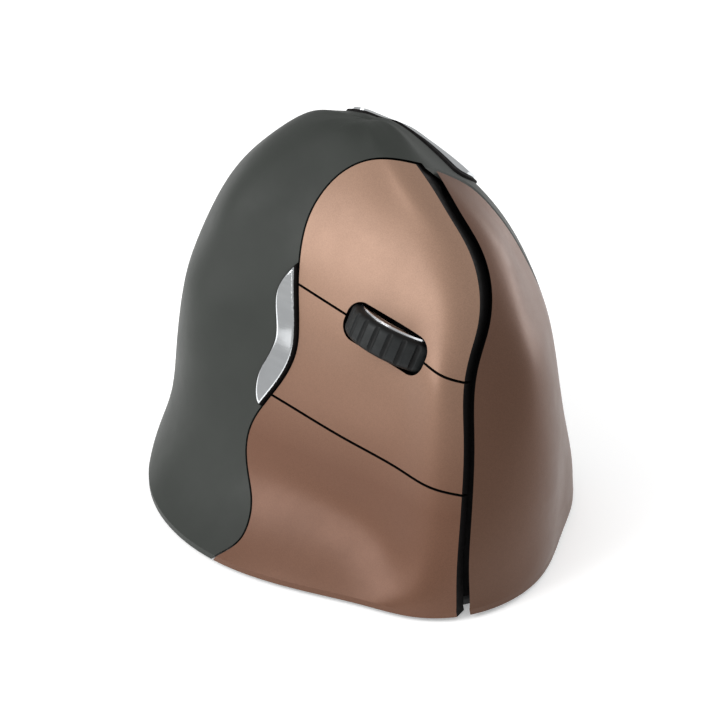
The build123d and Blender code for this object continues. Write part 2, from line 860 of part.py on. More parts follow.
# Places on the thumb side
thumb_plane = Plane(origin=(0, 0, 0), x_dir=(0, -1, 0), z_dir=(-1, 0, 0))
thumb_board_x = thumb_board_x_share * half_width
thumb_switch_top = thumb_switch_height - thumb_board_x


def thumb_place(shares):
    """Place on the thumb side plane from shares of the half length and the body height."""
    return (-shares[0] * half_length, shares[1] * body_height)


def thumb_prism(shares, length, width, turned, near, far):
    """Rounded prism along -X between two distances from the middle plane."""
    with BuildPart() as prism:
        with BuildSketch(thumb_plane.offset(near)):
            with Locations(Location(thumb_place(shares), turned)):
                SlotOverall(length, width)
        extrude(amount=far - near)
    return prism.part


thumb_near = -thumb_board_x + thumb_board_clear
thumb_far = half_width + thumb_button_rise
thumb_layouts = {
    "forward": (forward_shares, thumb_button_length, thumb_button_width, thumb_button_turn,
                thumb_button_rise),
    "back": (back_shares, thumb_button_length, thumb_button_width, thumb_button_turn,
             thumb_button_rise),
    "speed": (speed_shares, speed_length, speed_width, 0, speed_rise)}
thumb_cap_form = body_form(-thumb_button_rise)
speed_cap_form = body_form(-speed_rise)
flange_layer = form_layer(wall + thumb_flange_gap, wall + thumb_flange_gap + thumb_flange_wall)


def thumb_button_of(name):
    """One button of the thumb side: cap, flange behind the wall and stem to its plunger."""
    shares, length, width, turned, rise = thumb_layouts[name]
    place = thumb_place(shares)
    cap_form = thumb_cap_form
    if name == "speed":
        cap_form = speed_cap_form
    with BuildPart() as flange:
        add(thumb_prism(shares, length + 2 * thumb_flange, width + 2 * thumb_flange, turned,
                        thumb_near, thumb_far))
        add(flange_layer, mode=Mode.INTERSECT)
    with BuildPart() as button:
        add(thumb_prism(shares, length, width, turned, thumb_near, thumb_far))
        add(cap_form, mode=Mode.INTERSECT)
        add(body_form(wall + thumb_flange_gap + thumb_flange_wall / 2), mode=Mode.SUBTRACT)
        add(flange.part)
        with BuildSketch(thumb_plane.offset(thumb_switch_top + thumb_plunger_rise)):
            with Locations(place):
                Circle(thumb_stem_radius)
        extrude(amount=thumb_stem_length)
    return button.part


forward_button = thumb_button_of("forward")
back_button = thumb_button_of("back")
speed_button = thumb_button_of("speed")

with BuildPart() as indicator_lens:
    add(thumb_prism(lens_strip_shares, lens_strip_length, lens_strip_width, 0, thumb_near,
                    thumb_far))
    add(body_form(-lens_strip_rise), mode=Mode.INTERSECT)
    add(body_form(wall + thumb_flange_wall), mode=Mode.SUBTRACT)

# Main shell: back, thumb side and palm side in one piece
shell_bosses = [centre_of(share) for share in shell_boss_shares]
base_top = floor_height + base_thickness
with BuildPart() as nose_side:
    add(before_nose_seam(0))
    add(nose_cut_rear, mode=Mode.SUBTRACT)
with BuildPart() as shell_inner_parts:
    with BuildSketch(Plane.XY.offset(base_top)):
        with Locations(*shell_bosses):
            Circle(boss_radius)
    extrude(amount=shell_boss_top - base_top)
    with BuildSketch(thumb_plane.offset(-thumb_board_x)):
        with Locations(*[thumb_place(share) for share in thumb_post_shares]):
            Circle(thumb_post_radius)
    extrude(amount=half_width)
    add(rib_form, mode=Mode.INTERSECT)
with BuildPart() as trim_pocket:
    add(trim_prism(trim_play))
    add(body_form(trim_depth + pocket_play), mode=Mode.SUBTRACT)
with BuildPart() as plate_pocket:
    add(plate_prism(plate_play))
    add(body_form(plate_depth + pocket_play), mode=Mode.SUBTRACT)
with BuildPart() as main_shell:
    add(skin.part)
    add(finger_cut, mode=Mode.SUBTRACT)
    add(nose_side.part, mode=Mode.SUBTRACT)
    add(trim_pocket.part, mode=Mode.SUBTRACT)
    add(plate_pocket.part, mode=Mode.SUBTRACT)
    for shares, length, width, turned, _ in thumb_layouts.values():
        add(thumb_prism(shares, length + 2 * thumb_button_play, width + 2 * thumb_button_play,
                        turned, thumb_near, thumb_far), mode=Mode.SUBTRACT)
    add(thumb_prism(lens_strip_shares, lens_strip_length + 2 * tight_fit,
                    lens_strip_width + 2 * tight_fit, 0, thumb_near, thumb_far),
        mode=Mode.SUBTRACT)
    add(shell_inner_parts.part)
    with BuildSketch(Plane.XY.offset(base_top)):
        with Locations(*shell_bosses):
            Circle(pilot_radius)
    extrude(amount=screw_length, mode=Mode.SUBTRACT)
    with BuildSketch(thumb_plane.offset(-thumb_board_x)):
        with Locations(*[thumb_place(share) for share in thumb_post_shares]):
            Circle(board_screw_radius)
    extrude(amount=board_screw_length, mode=Mode.SUBTRACT)

# Nose panel with its screw boss and its tongue behind the edge of the shell
nose_bosses = [centre_of(share) for share in nose_boss_shares]
tongue_layer = form_layer(wall + tongue_play, wall + tongue_play + tongue_wall)
root_layer = form_layer(wall / 2, wall + tongue_play + tongue_wall)
tongue_side = face_prism(behind_slot(tongue_reach), -slot_reach_in, face_reach_out)
with BuildPart() as tongue:
    add(before_nose_seam(-tongue_reach))
    add(before_nose_seam(wall), mode=Mode.SUBTRACT)
    add(tongue_layer, mode=Mode.INTERSECT)
    add(tongue_side, mode=Mode.SUBTRACT)
    add(slab(-overrun, base_top + part_play), mode=Mode.SUBTRACT)
with BuildPart() as tongue_root:
    add(before_nose_seam(seam_gap))
    add(before_nose_seam(wall), mode=Mode.SUBTRACT)
    add(root_layer, mode=Mode.INTERSECT)
    add(tongue_side, mode=Mode.SUBTRACT)
    add(slab(-overrun, base_top + part_play), mode=Mode.SUBTRACT)
with BuildPart() as nose_boss:
    with BuildSketch(Plane.XY.offset(base_top)):
        with Locations(*nose_bosses):
            Circle(boss_radius)
    extrude(amount=nose_boss_top - base_top)
    add(rib_form, mode=Mode.INTERSECT)
with BuildPart() as nose_panel:
    add(skin.part)
    add(before_nose_seam(seam_gap), mode=Mode.INTERSECT)
    add(nose_panel_rear, mode=Mode.SUBTRACT)
    add(nose_boss.part)
    add(tongue_root.part)
    add(tongue.part)
    with BuildSketch(Plane.XY.offset(base_top)):
        with Locations(*nose_bosses):
            Circle(pilot_radius)
    extrude(amount=screw_length, mode=Mode.SUBTRACT)

# Dark liner behind the slot, glued under the rim of the nose panel
liner_layer = form_layer(liner_inset, liner_inset + liner_wall)
with BuildSketch() as liner_zone:
    add(behind_slot(liner_side))
    add(behind_slot(-liner_side), mode=Mode.SUBTRACT)
with BuildSketch() as liner_glue_zone:
    add(behind_slot(liner_side))
    add(behind_slot(liner_glue_start), mode=Mode.SUBTRACT)
liner_glue_layer = form_layer(liner_seat_inset, liner_inset + liner_wall)
with BuildPart() as glue_edge:
    add(liner_glue_layer)
    add(face_prism(liner_glue_zone.sketch, -slot_reach_in, face_reach_out), mode=Mode.INTERSECT)
with BuildPart() as slot_liner:
    add(liner_layer)
    add(face_prism(liner_zone.sketch, -slot_reach_in, face_reach_out), mode=Mode.INTERSECT)
    add(glue_edge.part)
    add(slab(-overrun, base_top + part_play), mode=Mode.SUBTRACT)

# Hinge pins of the three buttons
pin_length = lug_length + 2 * arm_play + 2 * arm_thickness
with BuildPart() as hinge_pins:
    for height, depth, _ in hinges.values():
        add(rod(hinge_plane(height, depth).offset(-pin_length / 2), pin_radius, pin_length))

# Upright frame: it carries the hinge arms, the wheel carrier posts and the upright board
board_front = [on_face(share) for share in upright_board_shares]
frame_front = [on_face(share) for share in upright_frame_shares]
frame_posts = [on_face(share) for share in frame_post_shares]
flange_screws = [centre_of(share) for share in flange_screw_shares]
flange_top = base_top + flange_thickness
post_inner = carrier_lug_width / 2 + arm_play
post_outer = post_inner + arm_thickness
ribbon_place = on_face(ribbon_window_shares)
with BuildPart() as upright_frame:
    with BuildSketch(face_plane.offset(-frame_depth)):
        with BuildLine():
            Polyline(*frame_front, close=True)
        make_face()
        with Locations(ribbon_place):
            RectangleRounded(ribbon_window_length, ribbon_window_height, frame_window_corner,
                             mode=Mode.SUBTRACT)
    extrude(amount=frame_thickness)
    with BuildSketch(wheel_plane.offset(-frame_depth - overrun - wheel_depth)):
        RectangleRounded(frame_window_length, frame_window_width, frame_window_corner)
    extrude(amount=frame_thickness + 2 * overrun, mode=Mode.SUBTRACT)
    for height, depth, _ in hinges.values():
        for side in (-1, 1):
            middle = height + side * (lug_length / 2 + arm_play + arm_thickness / 2)
            add(face_box((hinge_line - lug_radius, hinge_line + lug_radius),
                         (middle - arm_thickness / 2, middle + arm_thickness / 2),
                         (-frame_depth, lug_radius - depth)))
    for side in (-1, 1):
        near, far = sorted((side * post_inner, side * post_outer))
        add(wheel_box((-carrier_pivot_reach - carrier_lug_radius,
                       carrier_lug_radius - carrier_pivot_reach), (near, far),
                      (-frame_depth - wheel_depth, carrier_lug_radius)))
    with BuildSketch(face_plane.offset(frame_top)):
        with Locations(*frame_posts):
            Circle(frame_post_radius)
    extrude(amount=frame_depth - frame_thickness - upright_board_depth)
    with BuildSketch(Plane.XY.offset(base_top)):
        with Locations(((flange_inner + flange_outer) / 2,
                        face_origin_shares[1] * half_length
                        + (frame_front[0][0] + frame_front[1][0]) / 2)):
            Rectangle(flange_outer - flange_inner, frame_front[1][0] - frame_front[0][0])
    extrude(amount=flange_thickness)
    add(slab(-half_width, base_top), mode=Mode.SUBTRACT)
    for height, depth, _ in hinges.values():
        add(rod(hinge_plane(height, depth).offset(-lug_length), pin_radius + tight_fit,
                2 * lug_length), mode=Mode.SUBTRACT)
    with BuildSketch(wheel_side_plane.offset(-lug_length)):
        with Locations((-carrier_pivot_reach, 0)):
            Circle(pin_radius + tight_fit)
    extrude(amount=2 * lug_length, mode=Mode.SUBTRACT)
    with BuildSketch(face_plane.offset(-upright_board_depth)):
        with Locations(*frame_posts):
            Circle(board_screw_radius)
    extrude(amount=-board_screw_length, mode=Mode.SUBTRACT)
    with BuildSketch(Plane.XY.offset(base_top)):
        with Locations(*flange_screws):
            Circle(board_screw_radius + tight_fit)
    extrude(amount=flange_thickness, mode=Mode.SUBTRACT)

# Upright board, with a window for the wheel and a slot to the rear for the carrier posts
with BuildPart() as upright_board:
    with BuildSketch(face_plane.offset(-upright_board_depth)):
        with BuildLine():
            Polyline(*board_front, close=True)
        make_face()
        with Locations(*frame_posts):
            Circle(board_screw_radius + tight_fit, mode=Mode.SUBTRACT)
    extrude(amount=board_thickness)
    with BuildSketch(wheel_plane.offset(-upright_board_depth - overrun - wheel_depth)):
        RectangleRounded(board_window_length, board_window_width, frame_window_corner)
        with Locations((-carrier_pivot_reach, 0)):
            Rectangle(carrier_slot_length, carrier_slot_width)
    extrude(amount=board_thickness + 2 * overrun, mode=Mode.SUBTRACT)

# Switches under the buttons, each with its plunger
well_depth = plunger_sink + plunger_rise


def switch_of(finger):
    """Switch body on the upright board, with the well that its plunger runs in."""
    with BuildPart() as body:
        with BuildSketch(face_plane.offset(board_top)):
            with Locations(switch_places[finger]):
                Rectangle(switch_length, switch_width)
        extrude(amount=switch_height)
        chamfer(body.faces().sort_by(Axis(origin=(0, 0, 0), direction=face_outward))[-1].edges(),
                switch_edge)
        with BuildSketch(face_plane.offset(board_top + switch_height)):
            with Locations(switch_places[finger]):
                Rectangle(plunger_length + 2 * plunger_play, plunger_width + 2 * plunger_play)
        extrude(amount=-well_depth, mode=Mode.SUBTRACT)
    return body.part


def plunger_of(finger):
    """Plunger of a switch, resting against the rib of its button."""
    with BuildPart() as body:
        with BuildSketch(face_plane.offset(plunger_top)):
            with Locations(switch_places[finger]):
                Rectangle(plunger_length, plunger_width)
        extrude(amount=-plunger_rise - plunger_sink)
    return body.part


# Wheel: tyre, hub with its code slots, chrome ring and axle
tyre_inner = wheel_radius - tyre_wall
with BuildPart() as wheel_tyre:
    with BuildSketch(wheel_side_plane.offset(-wheel_width / 2)):
        Circle(wheel_radius)
    extrude(amount=wheel_width)
    fillet(wheel_tyre.edges(), tyre_shoulder)
    with BuildSketch(wheel_side_plane.offset(-wheel_width / 2 - overrun)):
        with PolarLocations(wheel_radius + groove_lift, groove_count):
            Circle(groove_radius)
    extrude(amount=wheel_width + 2 * overrun, mode=Mode.SUBTRACT)
    with BuildSketch(wheel_side_plane.offset(-wheel_width / 2 - overrun)):
        Circle(tyre_inner)
    extrude(amount=wheel_width + 2 * overrun, mode=Mode.SUBTRACT)

ring_low = wheel_width / 2
with BuildPart() as wheel_hub:
    with BuildSketch(wheel_side_plane.offset(-ring_low)):
        Circle(tyre_inner)
    extrude(amount=2 * ring_low)
    for side in (-1, 1):
        with BuildSketch(wheel_side_plane.offset(side * ring_low)):
            Circle(tyre_inner - hub_rim)
            Circle(hub_boss_radius, mode=Mode.SUBTRACT)
        extrude(amount=-side * (ring_low - hub_web / 2), mode=Mode.SUBTRACT)
    with BuildSketch(wheel_side_plane.offset(-hub_web)):
        with PolarLocations(code_slot_middle, code_slot_count):
            SlotOverall(code_slot_length, code_slot_width)
    extrude(amount=2 * hub_web, mode=Mode.SUBTRACT)
    with BuildSketch(wheel_side_plane.offset(-wheel_width)):
        Circle(axle_radius + tight_fit)
    extrude(amount=2 * wheel_width, mode=Mode.SUBTRACT)

with BuildPart() as wheel_ring:
    with BuildSketch(wheel_side_plane.offset(ring_low)):
        Circle(wheel_ring_outer)
        Circle(wheel_ring_inner, mode=Mode.SUBTRACT)
    extrude(amount=wheel_ring_height)

with BuildPart() as wheel_axle:
    add(rod(wheel_side_plane.offset(-axle_length / 2), axle_radius, axle_length))
    chamfer(wheel_axle.edges(), axle_radius / 4)

# Wheel carrier: a frame around the wheel with a rear lug and a front tongue
carrier_outer_length = carrier_inner_length + 2 * carrier_rim
carrier_outer_width = carrier_inner_width + 2 * carrier_rim
with BuildPart() as wheel_carrier:
    with BuildSketch(wheel_plane.offset(-carrier_thickness / 2)):
        Rectangle(carrier_outer_length, carrier_outer_width)
        Rectangle(carrier_inner_length, carrier_inner_width, mode=Mode.SUBTRACT)
    extrude(amount=carrier_thickness)
    with BuildSketch(wheel_side_plane.offset(-carrier_lug_width / 2)):
        with Locations((-carrier_pivot_reach, 0)):
            Circle(carrier_lug_radius)
        with Locations(((-carrier_pivot_reach - carrier_inner_length / 2) / 2, 0)):
            Rectangle(carrier_pivot_reach - carrier_inner_length / 2, carrier_thickness)
    extrude(amount=carrier_lug_width)
    add(wheel_box((carrier_inner_length / 2, carrier_tongue_reach),
                  (-carrier_tongue_width / 2, carrier_tongue_width / 2),
                  (-carrier_thickness / 2, carrier_tongue_thickness - carrier_thickness / 2)))
    with BuildSketch(wheel_side_plane.offset(-lug_length)):
        with Locations((-carrier_pivot_reach, 0)):
            Circle(pin_radius + running_fit)
    extrude(amount=2 * lug_length, mode=Mode.SUBTRACT)
    with BuildSketch(wheel_side_plane.offset(-axle_length)):
        Circle(axle_radius + running_fit)
    extrude(amount=2 * axle_length, mode=Mode.SUBTRACT)

with BuildPart() as carrier_pin:
    with BuildSketch(wheel_side_plane.offset(-post_outer)):
        with Locations((-carrier_pivot_reach, 0)):
            Circle(pin_radius)
    extrude(amount=2 * post_outer)

# Switch under the front tongue of the carrier
click_top = board_top + click_switch_height - wheel_depth
with BuildPart() as wheel_switch:
    with BuildSketch(wheel_plane.offset(board_top - wheel_depth)):
        with Locations((click_switch_reach, 0)):
            RectangleRounded(click_switch_side, click_switch_side, click_switch_corner)
    extrude(amount=click_switch_height)
    with BuildSketch(wheel_plane.offset(click_top)):
        with Locations((click_switch_reach, 0)):
            Circle(click_plunger_radius + plunger_play)
    extrude(amount=-click_well_depth, mode=Mode.SUBTRACT)
with BuildPart() as wheel_plunger:
    with BuildSketch(wheel_plane.offset(-carrier_thickness / 2)):
        with Locations((click_switch_reach, 0)):
            Circle(click_plunger_radius)
    extrude(amount=carrier_thickness / 2 + click_top - click_plunger_sink)

# Light and sensor that read the code slots, hanging from the upright board
with BuildPart() as encoder_light:
    add(wheel_box((-encoder_part_length / 2, encoder_part_length / 2),
                  (encoder_part_reach - encoder_part_width / 2,
                   encoder_part_reach + encoder_part_width / 2),
                  (-upright_board_depth - encoder_part_height - wheel_depth,
                   -upright_board_depth - wheel_depth)))
with BuildPart() as encoder_sensor:
    add(wheel_box((-encoder_part_length / 2, encoder_part_length / 2),
                  (-encoder_part_reach - encoder_part_width / 2,
                   encoder_part_width / 2 - encoder_part_reach),
                  (-upright_board_depth - encoder_part_height - wheel_depth,
                   -upright_board_depth - wheel_depth)))

# Battery lies along the thumb side of the underside
cell_x = cell_x_share * half_width
cell_rear = cell_y_share * half_length - cell_length / 2
cell_front = cell_rear + cell_length
cell_height = cell_lift + cell_radius
tub_rear = cell_rear - spring_room - contact_thickness
tub_front = cell_front + nub_length + contact_thickness
tub_half = cell_radius + tub_play
door_centre = (cell_x, (tub_rear + tub_front) / 2)
power_place = (power_x_share * half_width, power_y_share * half_length)
pair_place = (pair_x_share * half_width, pair_y_share * half_length)
sensor_place = (sensor_x_share * half_width, sensor_y_share * half_length)
board_middle = ((main_board_left + main_board_right) / 2, (main_board_rear + main_board_front) / 2)
board_post_spans = (main_board_right - main_board_left - 2 * board_post_inset,
                    main_board_front - main_board_rear - 2 * board_post_inset)

# Base plate with the battery tub, the board posts and the openings of the underside. Its finger
# side stays further in, clear of the button rims.
with BuildPart() as thumb_half:
    add(body_form(wall + base_play))
    add(slab(floor_height, base_top), mode=Mode.INTERSECT)
    with Locations((flange_inner + half_width, 0, 0)):
        Box(2 * half_width, 2 * body_height, body_height, mode=Mode.SUBTRACT)
with BuildPart() as finger_half:
    add(body_form(base_button_inset))
    add(slab(floor_height, base_top), mode=Mode.INTERSECT)
with BuildPart() as base_plate:
    add(thumb_half.part)
    add(finger_half.part)
    with BuildSketch(Plane.XY.offset(base_top)):
        with Locations(door_centre):
            Rectangle(2 * (tub_half + tub_wall), tub_front - tub_rear + 2 * tub_wall)
    extrude(amount=cell_height + cell_radius + tub_play + tub_wall - base_top)
    with BuildSketch(Plane.XY.offset(base_top)):
        with Locations(door_centre):
            Rectangle(2 * tub_half, tub_front - tub_rear)
    extrude(amount=cell_height + cell_radius + tub_play - base_top, mode=Mode.SUBTRACT)
    with BuildSketch(Plane.XY.offset(floor_height)):
        with Locations(door_centre):
            Rectangle(door_width + 2 * door_play, door_length + 2 * door_play)
    extrude(amount=door_thickness, mode=Mode.SUBTRACT)
    with BuildSketch(Plane.XY.offset(floor_height)):
        with Locations(door_centre):
            Rectangle(2 * (cell_radius + door_ledge_play), door_length - 2 * door_ledge)
    extrude(amount=base_thickness + overrun, mode=Mode.SUBTRACT)
    with BuildSketch(Plane.XY.offset(base_top)):
        with Locations(board_middle):
            with GridLocations(*board_post_spans, 2, 2):
                Circle(board_post_radius)
    extrude(amount=main_board_lift - base_top)
    with BuildSketch(Plane.XY.offset(main_board_lift)):
        with Locations(board_middle):
            with GridLocations(*board_post_spans, 2, 2):
                Circle(board_screw_radius)
    extrude(amount=-board_screw_length + board_thickness - part_play, mode=Mode.SUBTRACT)
    with BuildSketch(Plane.XY.offset(floor_height)):
        with Locations(*[Location(centre_of(place[:2]), place[2])
                         for place in foot_places_shares]):
            SlotOverall(foot_length + 2 * foot_play, foot_width + 2 * foot_play)
    extrude(amount=foot_recess, mode=Mode.SUBTRACT)
    with BuildSketch(Plane.XY.offset(floor_height - overrun)):
        with Locations(*shell_bosses, *nose_bosses):
            Circle(screw_hole_radius)
        with Locations(sensor_place):
            RectangleRounded(sensor_window_width, sensor_window_length, screw_hole_radius)
        with Locations(pair_place):
            Circle(pair_radius + pair_play)
        with Locations(power_place):
            Rectangle(power_knob_width + 2 * power_slot_play,
                      power_knob_length + power_travel + 2 * power_slot_play)
    extrude(amount=base_thickness + 2 * overrun, mode=Mode.SUBTRACT)
    with BuildSketch(Plane.XY.offset(floor_height)):
        with Locations(*shell_bosses, *nose_bosses):
            Circle(screw_head_radius + screw_head_play)
    extrude(amount=screw_head_height + screw_head_sink, mode=Mode.SUBTRACT)
    with BuildSketch(Plane.XY.offset(floor_height)):
        with Locations(power_place):
            RectangleRounded(power_recess_width, power_recess_length, power_slot_play * 2)
        with Locations(pair_place):
            Circle(pair_flange_radius)
    extrude(amount=power_recess, mode=Mode.SUBTRACT)
    with BuildSketch(Plane.XY.offset(base_top)):
        with Locations(*flange_screws):
            Circle(board_screw_radius)
    extrude(amount=flange_thickness - flange_screw_length, mode=Mode.SUBTRACT)

# Glide feet stuck in their recesses
with BuildPart() as glide_feet:
    with BuildSketch(Plane.XY):
        with Locations(*[Location(centre_of(place[:2]), place[2])
                         for place in foot_places_shares]):
            SlotOverall(foot_length, foot_width)
    extrude(amount=floor_height + foot_recess)
    chamfer(glide_feet.faces().sort_by(Axis.Z)[:len(foot_places_shares)].edges(), base_bevel)


def cross_screw(plane, radius, head_radius, head_height, length):
    """Cross-head screw: the plane lies under its head and its normal points out of the head."""
    with BuildPart() as body:
        with BuildSketch(plane):
            Circle(head_radius)
        extrude(amount=head_height)
        with BuildSketch(plane):
            Circle(radius)
        extrude(amount=-length)
        cross_span = min(cross_length, head_radius * cross_head_share)
        with BuildSketch(plane.offset(head_height)):
            Rectangle(cross_span, cross_width)
            Rectangle(cross_width, cross_span)
        extrude(amount=-cross_depth, mode=Mode.SUBTRACT)
    return body.part


screw_seat = floor_height + screw_head_height + screw_head_sink
with BuildPart() as base_screws:
    for place in (*shell_bosses, *nose_bosses):
        seat = Plane(origin=(place[0], place[1], screw_seat), x_dir=(1, 0, 0), z_dir=(0, 0, -1))
        add(cross_screw(seat, pilot_radius - tight_fit, screw_head_radius, screw_head_height,
                        screw_length))
one_board_screw = cross_screw(Plane.XY, board_screw_radius - tight_fit, board_screw_head_radius,
                              board_screw_head_height, board_screw_length)
with BuildPart() as board_screws:
    with Locations(Location((*board_middle, main_board_lift + board_thickness))):
        with GridLocations(*board_post_spans, 2, 2):
            add(one_board_screw)
    for share in thumb_post_shares:
        place = (-thumb_place(share)[0], thumb_place(share)[1])
        seat = Plane(origin=(thumb_board_x + board_thickness, place[0], place[1]),
                     x_dir=(0, 1, 0), z_dir=(1, 0, 0))
        add(cross_screw(seat, board_screw_radius - tight_fit, board_screw_head_radius,
                        board_screw_head_height, board_screw_length))
with BuildPart() as frame_screws:
    for place in flange_screws:
        add(cross_screw(Plane(origin=(place[0], place[1], flange_top)),
                        board_screw_radius - tight_fit, board_screw_head_radius,
                        board_screw_head_height, flange_screw_length))
    for place in frame_posts:
        seat = Plane(origin=face_plane.from_local_coords((place[0], place[1], board_top)),
                     x_dir=(0, 1, 0), z_dir=face_outward)
        add(cross_screw(seat, board_screw_radius - tight_fit, board_screw_head_radius,
                        board_screw_head_height, frame_screw_length))

# Battery: a can under a wrap, with its button end to the nose
cell_plane = Plane(origin=(cell_x, cell_rear, cell_height), x_dir=(1, 0, 0), z_dir=(0, 1, 0))
with BuildPart() as battery:
    add(rod(cell_plane, cell_radius, cell_length))
    fillet(battery.edges(), cell_edge)
    add(rod(cell_plane.offset(cell_length), nub_radius, nub_length))

# Contact plates at both ends of the tub and the spring on the rear one
with BuildPart() as battery_contacts:
    for side, start in ((1, tub_rear), (1, tub_front - contact_thickness)):
        with BuildSketch(Plane(origin=(cell_x, start, cell_height), x_dir=(1, 0, 0),
                               z_dir=(0, 1, 0))):
            Rectangle(contact_width, contact_height)
        extrude(amount=side * contact_thickness)
with BuildPart() as battery_spring:
    coil_start = tub_rear + contact_thickness + spring_wire_radius
    coil_rise = cell_rear - spring_wire_radius - coil_start
    with BuildLine() as coil:
        Helix(pitch=coil_rise / spring_turns, height=coil_rise, radius=spring_wide_radius,
              center=(cell_x, coil_start, cell_height), direction=(0, 1, 0))
    with BuildSketch(Plane(origin=coil.line @ 0, z_dir=coil.line % 0)):
        Circle(spring_wire_radius)
    sweep(path=coil.line)

# Battery door, set in the underside, with a tongue at its front and grip bars at its rear
with BuildPart() as battery_door:
    with BuildSketch(Plane.XY.offset(floor_height)):
        with Locations(door_centre):
            Rectangle(door_width, door_length)
    extrude(amount=door_thickness)
    with BuildSketch(Plane.XY.offset(floor_height + door_thickness)):
        with Locations(door_centre):
            Rectangle(door_width - 2 * door_tab_length, door_length - 2 * door_tab_length)
    extrude(amount=door_tab_thickness)
    with BuildSketch(Plane.XY.offset(floor_height)):
        with Locations((door_centre[0], door_centre[1] - door_length / 2 + door_grip_inset)):
            with GridLocations(door_grip_gap, door_grip_gap, 1, door_grip_count):
                Rectangle(door_grip_width, door_grip_bar)
    extrude(amount=door_grip_depth, mode=Mode.SUBTRACT)

# Main board over the base plate
board_face = main_board_lift + board_thickness
with BuildPart() as main_board:
    with BuildSketch(Plane.XY.offset(main_board_lift)):
        with Locations(board_middle):
            RectangleRounded(main_board_right - main_board_left,
                             main_board_front - main_board_rear, main_board_corner)
            with GridLocations(*board_post_spans, 2, 2):
                Circle(board_screw_radius + tight_fit, mode=Mode.SUBTRACT)
        with Locations(sensor_place):
            Rectangle(sensor_hole_width, sensor_hole_length, mode=Mode.SUBTRACT)
    extrude(amount=board_thickness)

# Optical sensor and the lens under it
with BuildPart() as sensor_lens:
    with BuildSketch(Plane.XY.offset(base_top)):
        with Locations(sensor_place):
            RectangleRounded(lens_width, lens_length, lens_thickness)
    extrude(amount=lens_thickness)
    with BuildSketch(Plane.XY.offset(floor_height + lens_floor_gap)):
        with Locations(sensor_place):
            Circle(lens_barrel_radius)
    extrude(amount=main_board_lift - lens_shelf_gap - floor_height - lens_floor_gap)
with BuildPart() as sensor_chip:
    with BuildSketch(Plane.XY.offset(board_face)):
        with Locations(sensor_place):
            Rectangle(sensor_chip_width, sensor_chip_length)
    extrude(amount=sensor_chip_height)
    chamfer(sensor_chip.faces().sort_by(Axis.Z)[-1].edges(), switch_edge)


def chip_of(place, length, width, height):
    """Chip package standing on the main board, with a bevelled top."""
    with BuildPart() as body:
        with BuildSketch(Plane.XY.offset(board_face)):
            with Locations(place):
                Rectangle(width, length)
        extrude(amount=height)
        chamfer(body.faces().sort_by(Axis.Z)[-1].edges(), height / 4)
    return body.part


controller_chip = chip_of(centre_of(controller_share), controller_side, controller_side,
                          controller_height)
radio_module = chip_of(centre_of(radio_share), radio_length, radio_width, radio_height)
clock_crystal = chip_of(centre_of(crystal_share), crystal_length, crystal_width, crystal_height)

# Power switch under the main board and its slider in the underside
power_switch_low = main_board_lift - power_body_height
with BuildPart() as power_switch:
    with BuildSketch(Plane.XY.offset(power_switch_low)):
        with Locations(power_place):
            Rectangle(power_body_width, power_body_length)
            Rectangle(power_stem_side + 2 * power_slot_play,
                      power_stem_side + power_travel + 2 * power_slot_play, mode=Mode.SUBTRACT)
    extrude(amount=power_body_height)
slider_place = (power_place[0], power_place[1] - power_travel / 2)
with BuildPart() as power_slider:
    with BuildSketch(Plane.XY.offset(floor_height + power_knob_sink)):
        with Locations(slider_place):
            Rectangle(power_knob_width, power_knob_length)
    extrude(amount=base_thickness - power_knob_sink + running_fit)
    with BuildSketch(Plane.XY.offset(base_top + running_fit)):
        with Locations(slider_place):
            Rectangle(power_knob_width + 2 * power_recess, power_knob_length + 2 * power_recess)
    extrude(amount=pair_flange_thickness)
    with BuildSketch(Plane.XY.offset(base_top + running_fit)):
        with Locations(slider_place):
            Rectangle(power_stem_side, power_stem_side)
    extrude(amount=power_switch_low + power_recess - base_top)

# Pairing button in the underside and its switch under the main board
pair_switch_low = main_board_lift - pair_switch_height
with BuildPart() as pairing_button:
    with BuildSketch(Plane.XY.offset(floor_height + pair_recess)):
        with Locations(pair_place):
            Circle(pair_radius)
    extrude(amount=base_thickness - pair_recess + running_fit)
    with BuildSketch(Plane.XY.offset(base_top + running_fit)):
        with Locations(pair_place):
            Circle(pair_flange_radius)
    extrude(amount=pair_flange_thickness)
    with BuildSketch(Plane.XY.offset(base_top + running_fit)):
        with Locations(pair_place):
            Circle(thumb_stem_radius)
    extrude(amount=pair_switch_low + pair_stem_sink - base_top - running_fit)
with BuildPart() as pairing_switch:
    with BuildSketch(Plane.XY.offset(pair_switch_low)):
        with Locations(pair_place):
            Rectangle(pair_switch_side, pair_switch_side)
            Circle(thumb_stem_radius + plunger_play, mode=Mode.SUBTRACT)
    extrude(amount=pair_switch_height)

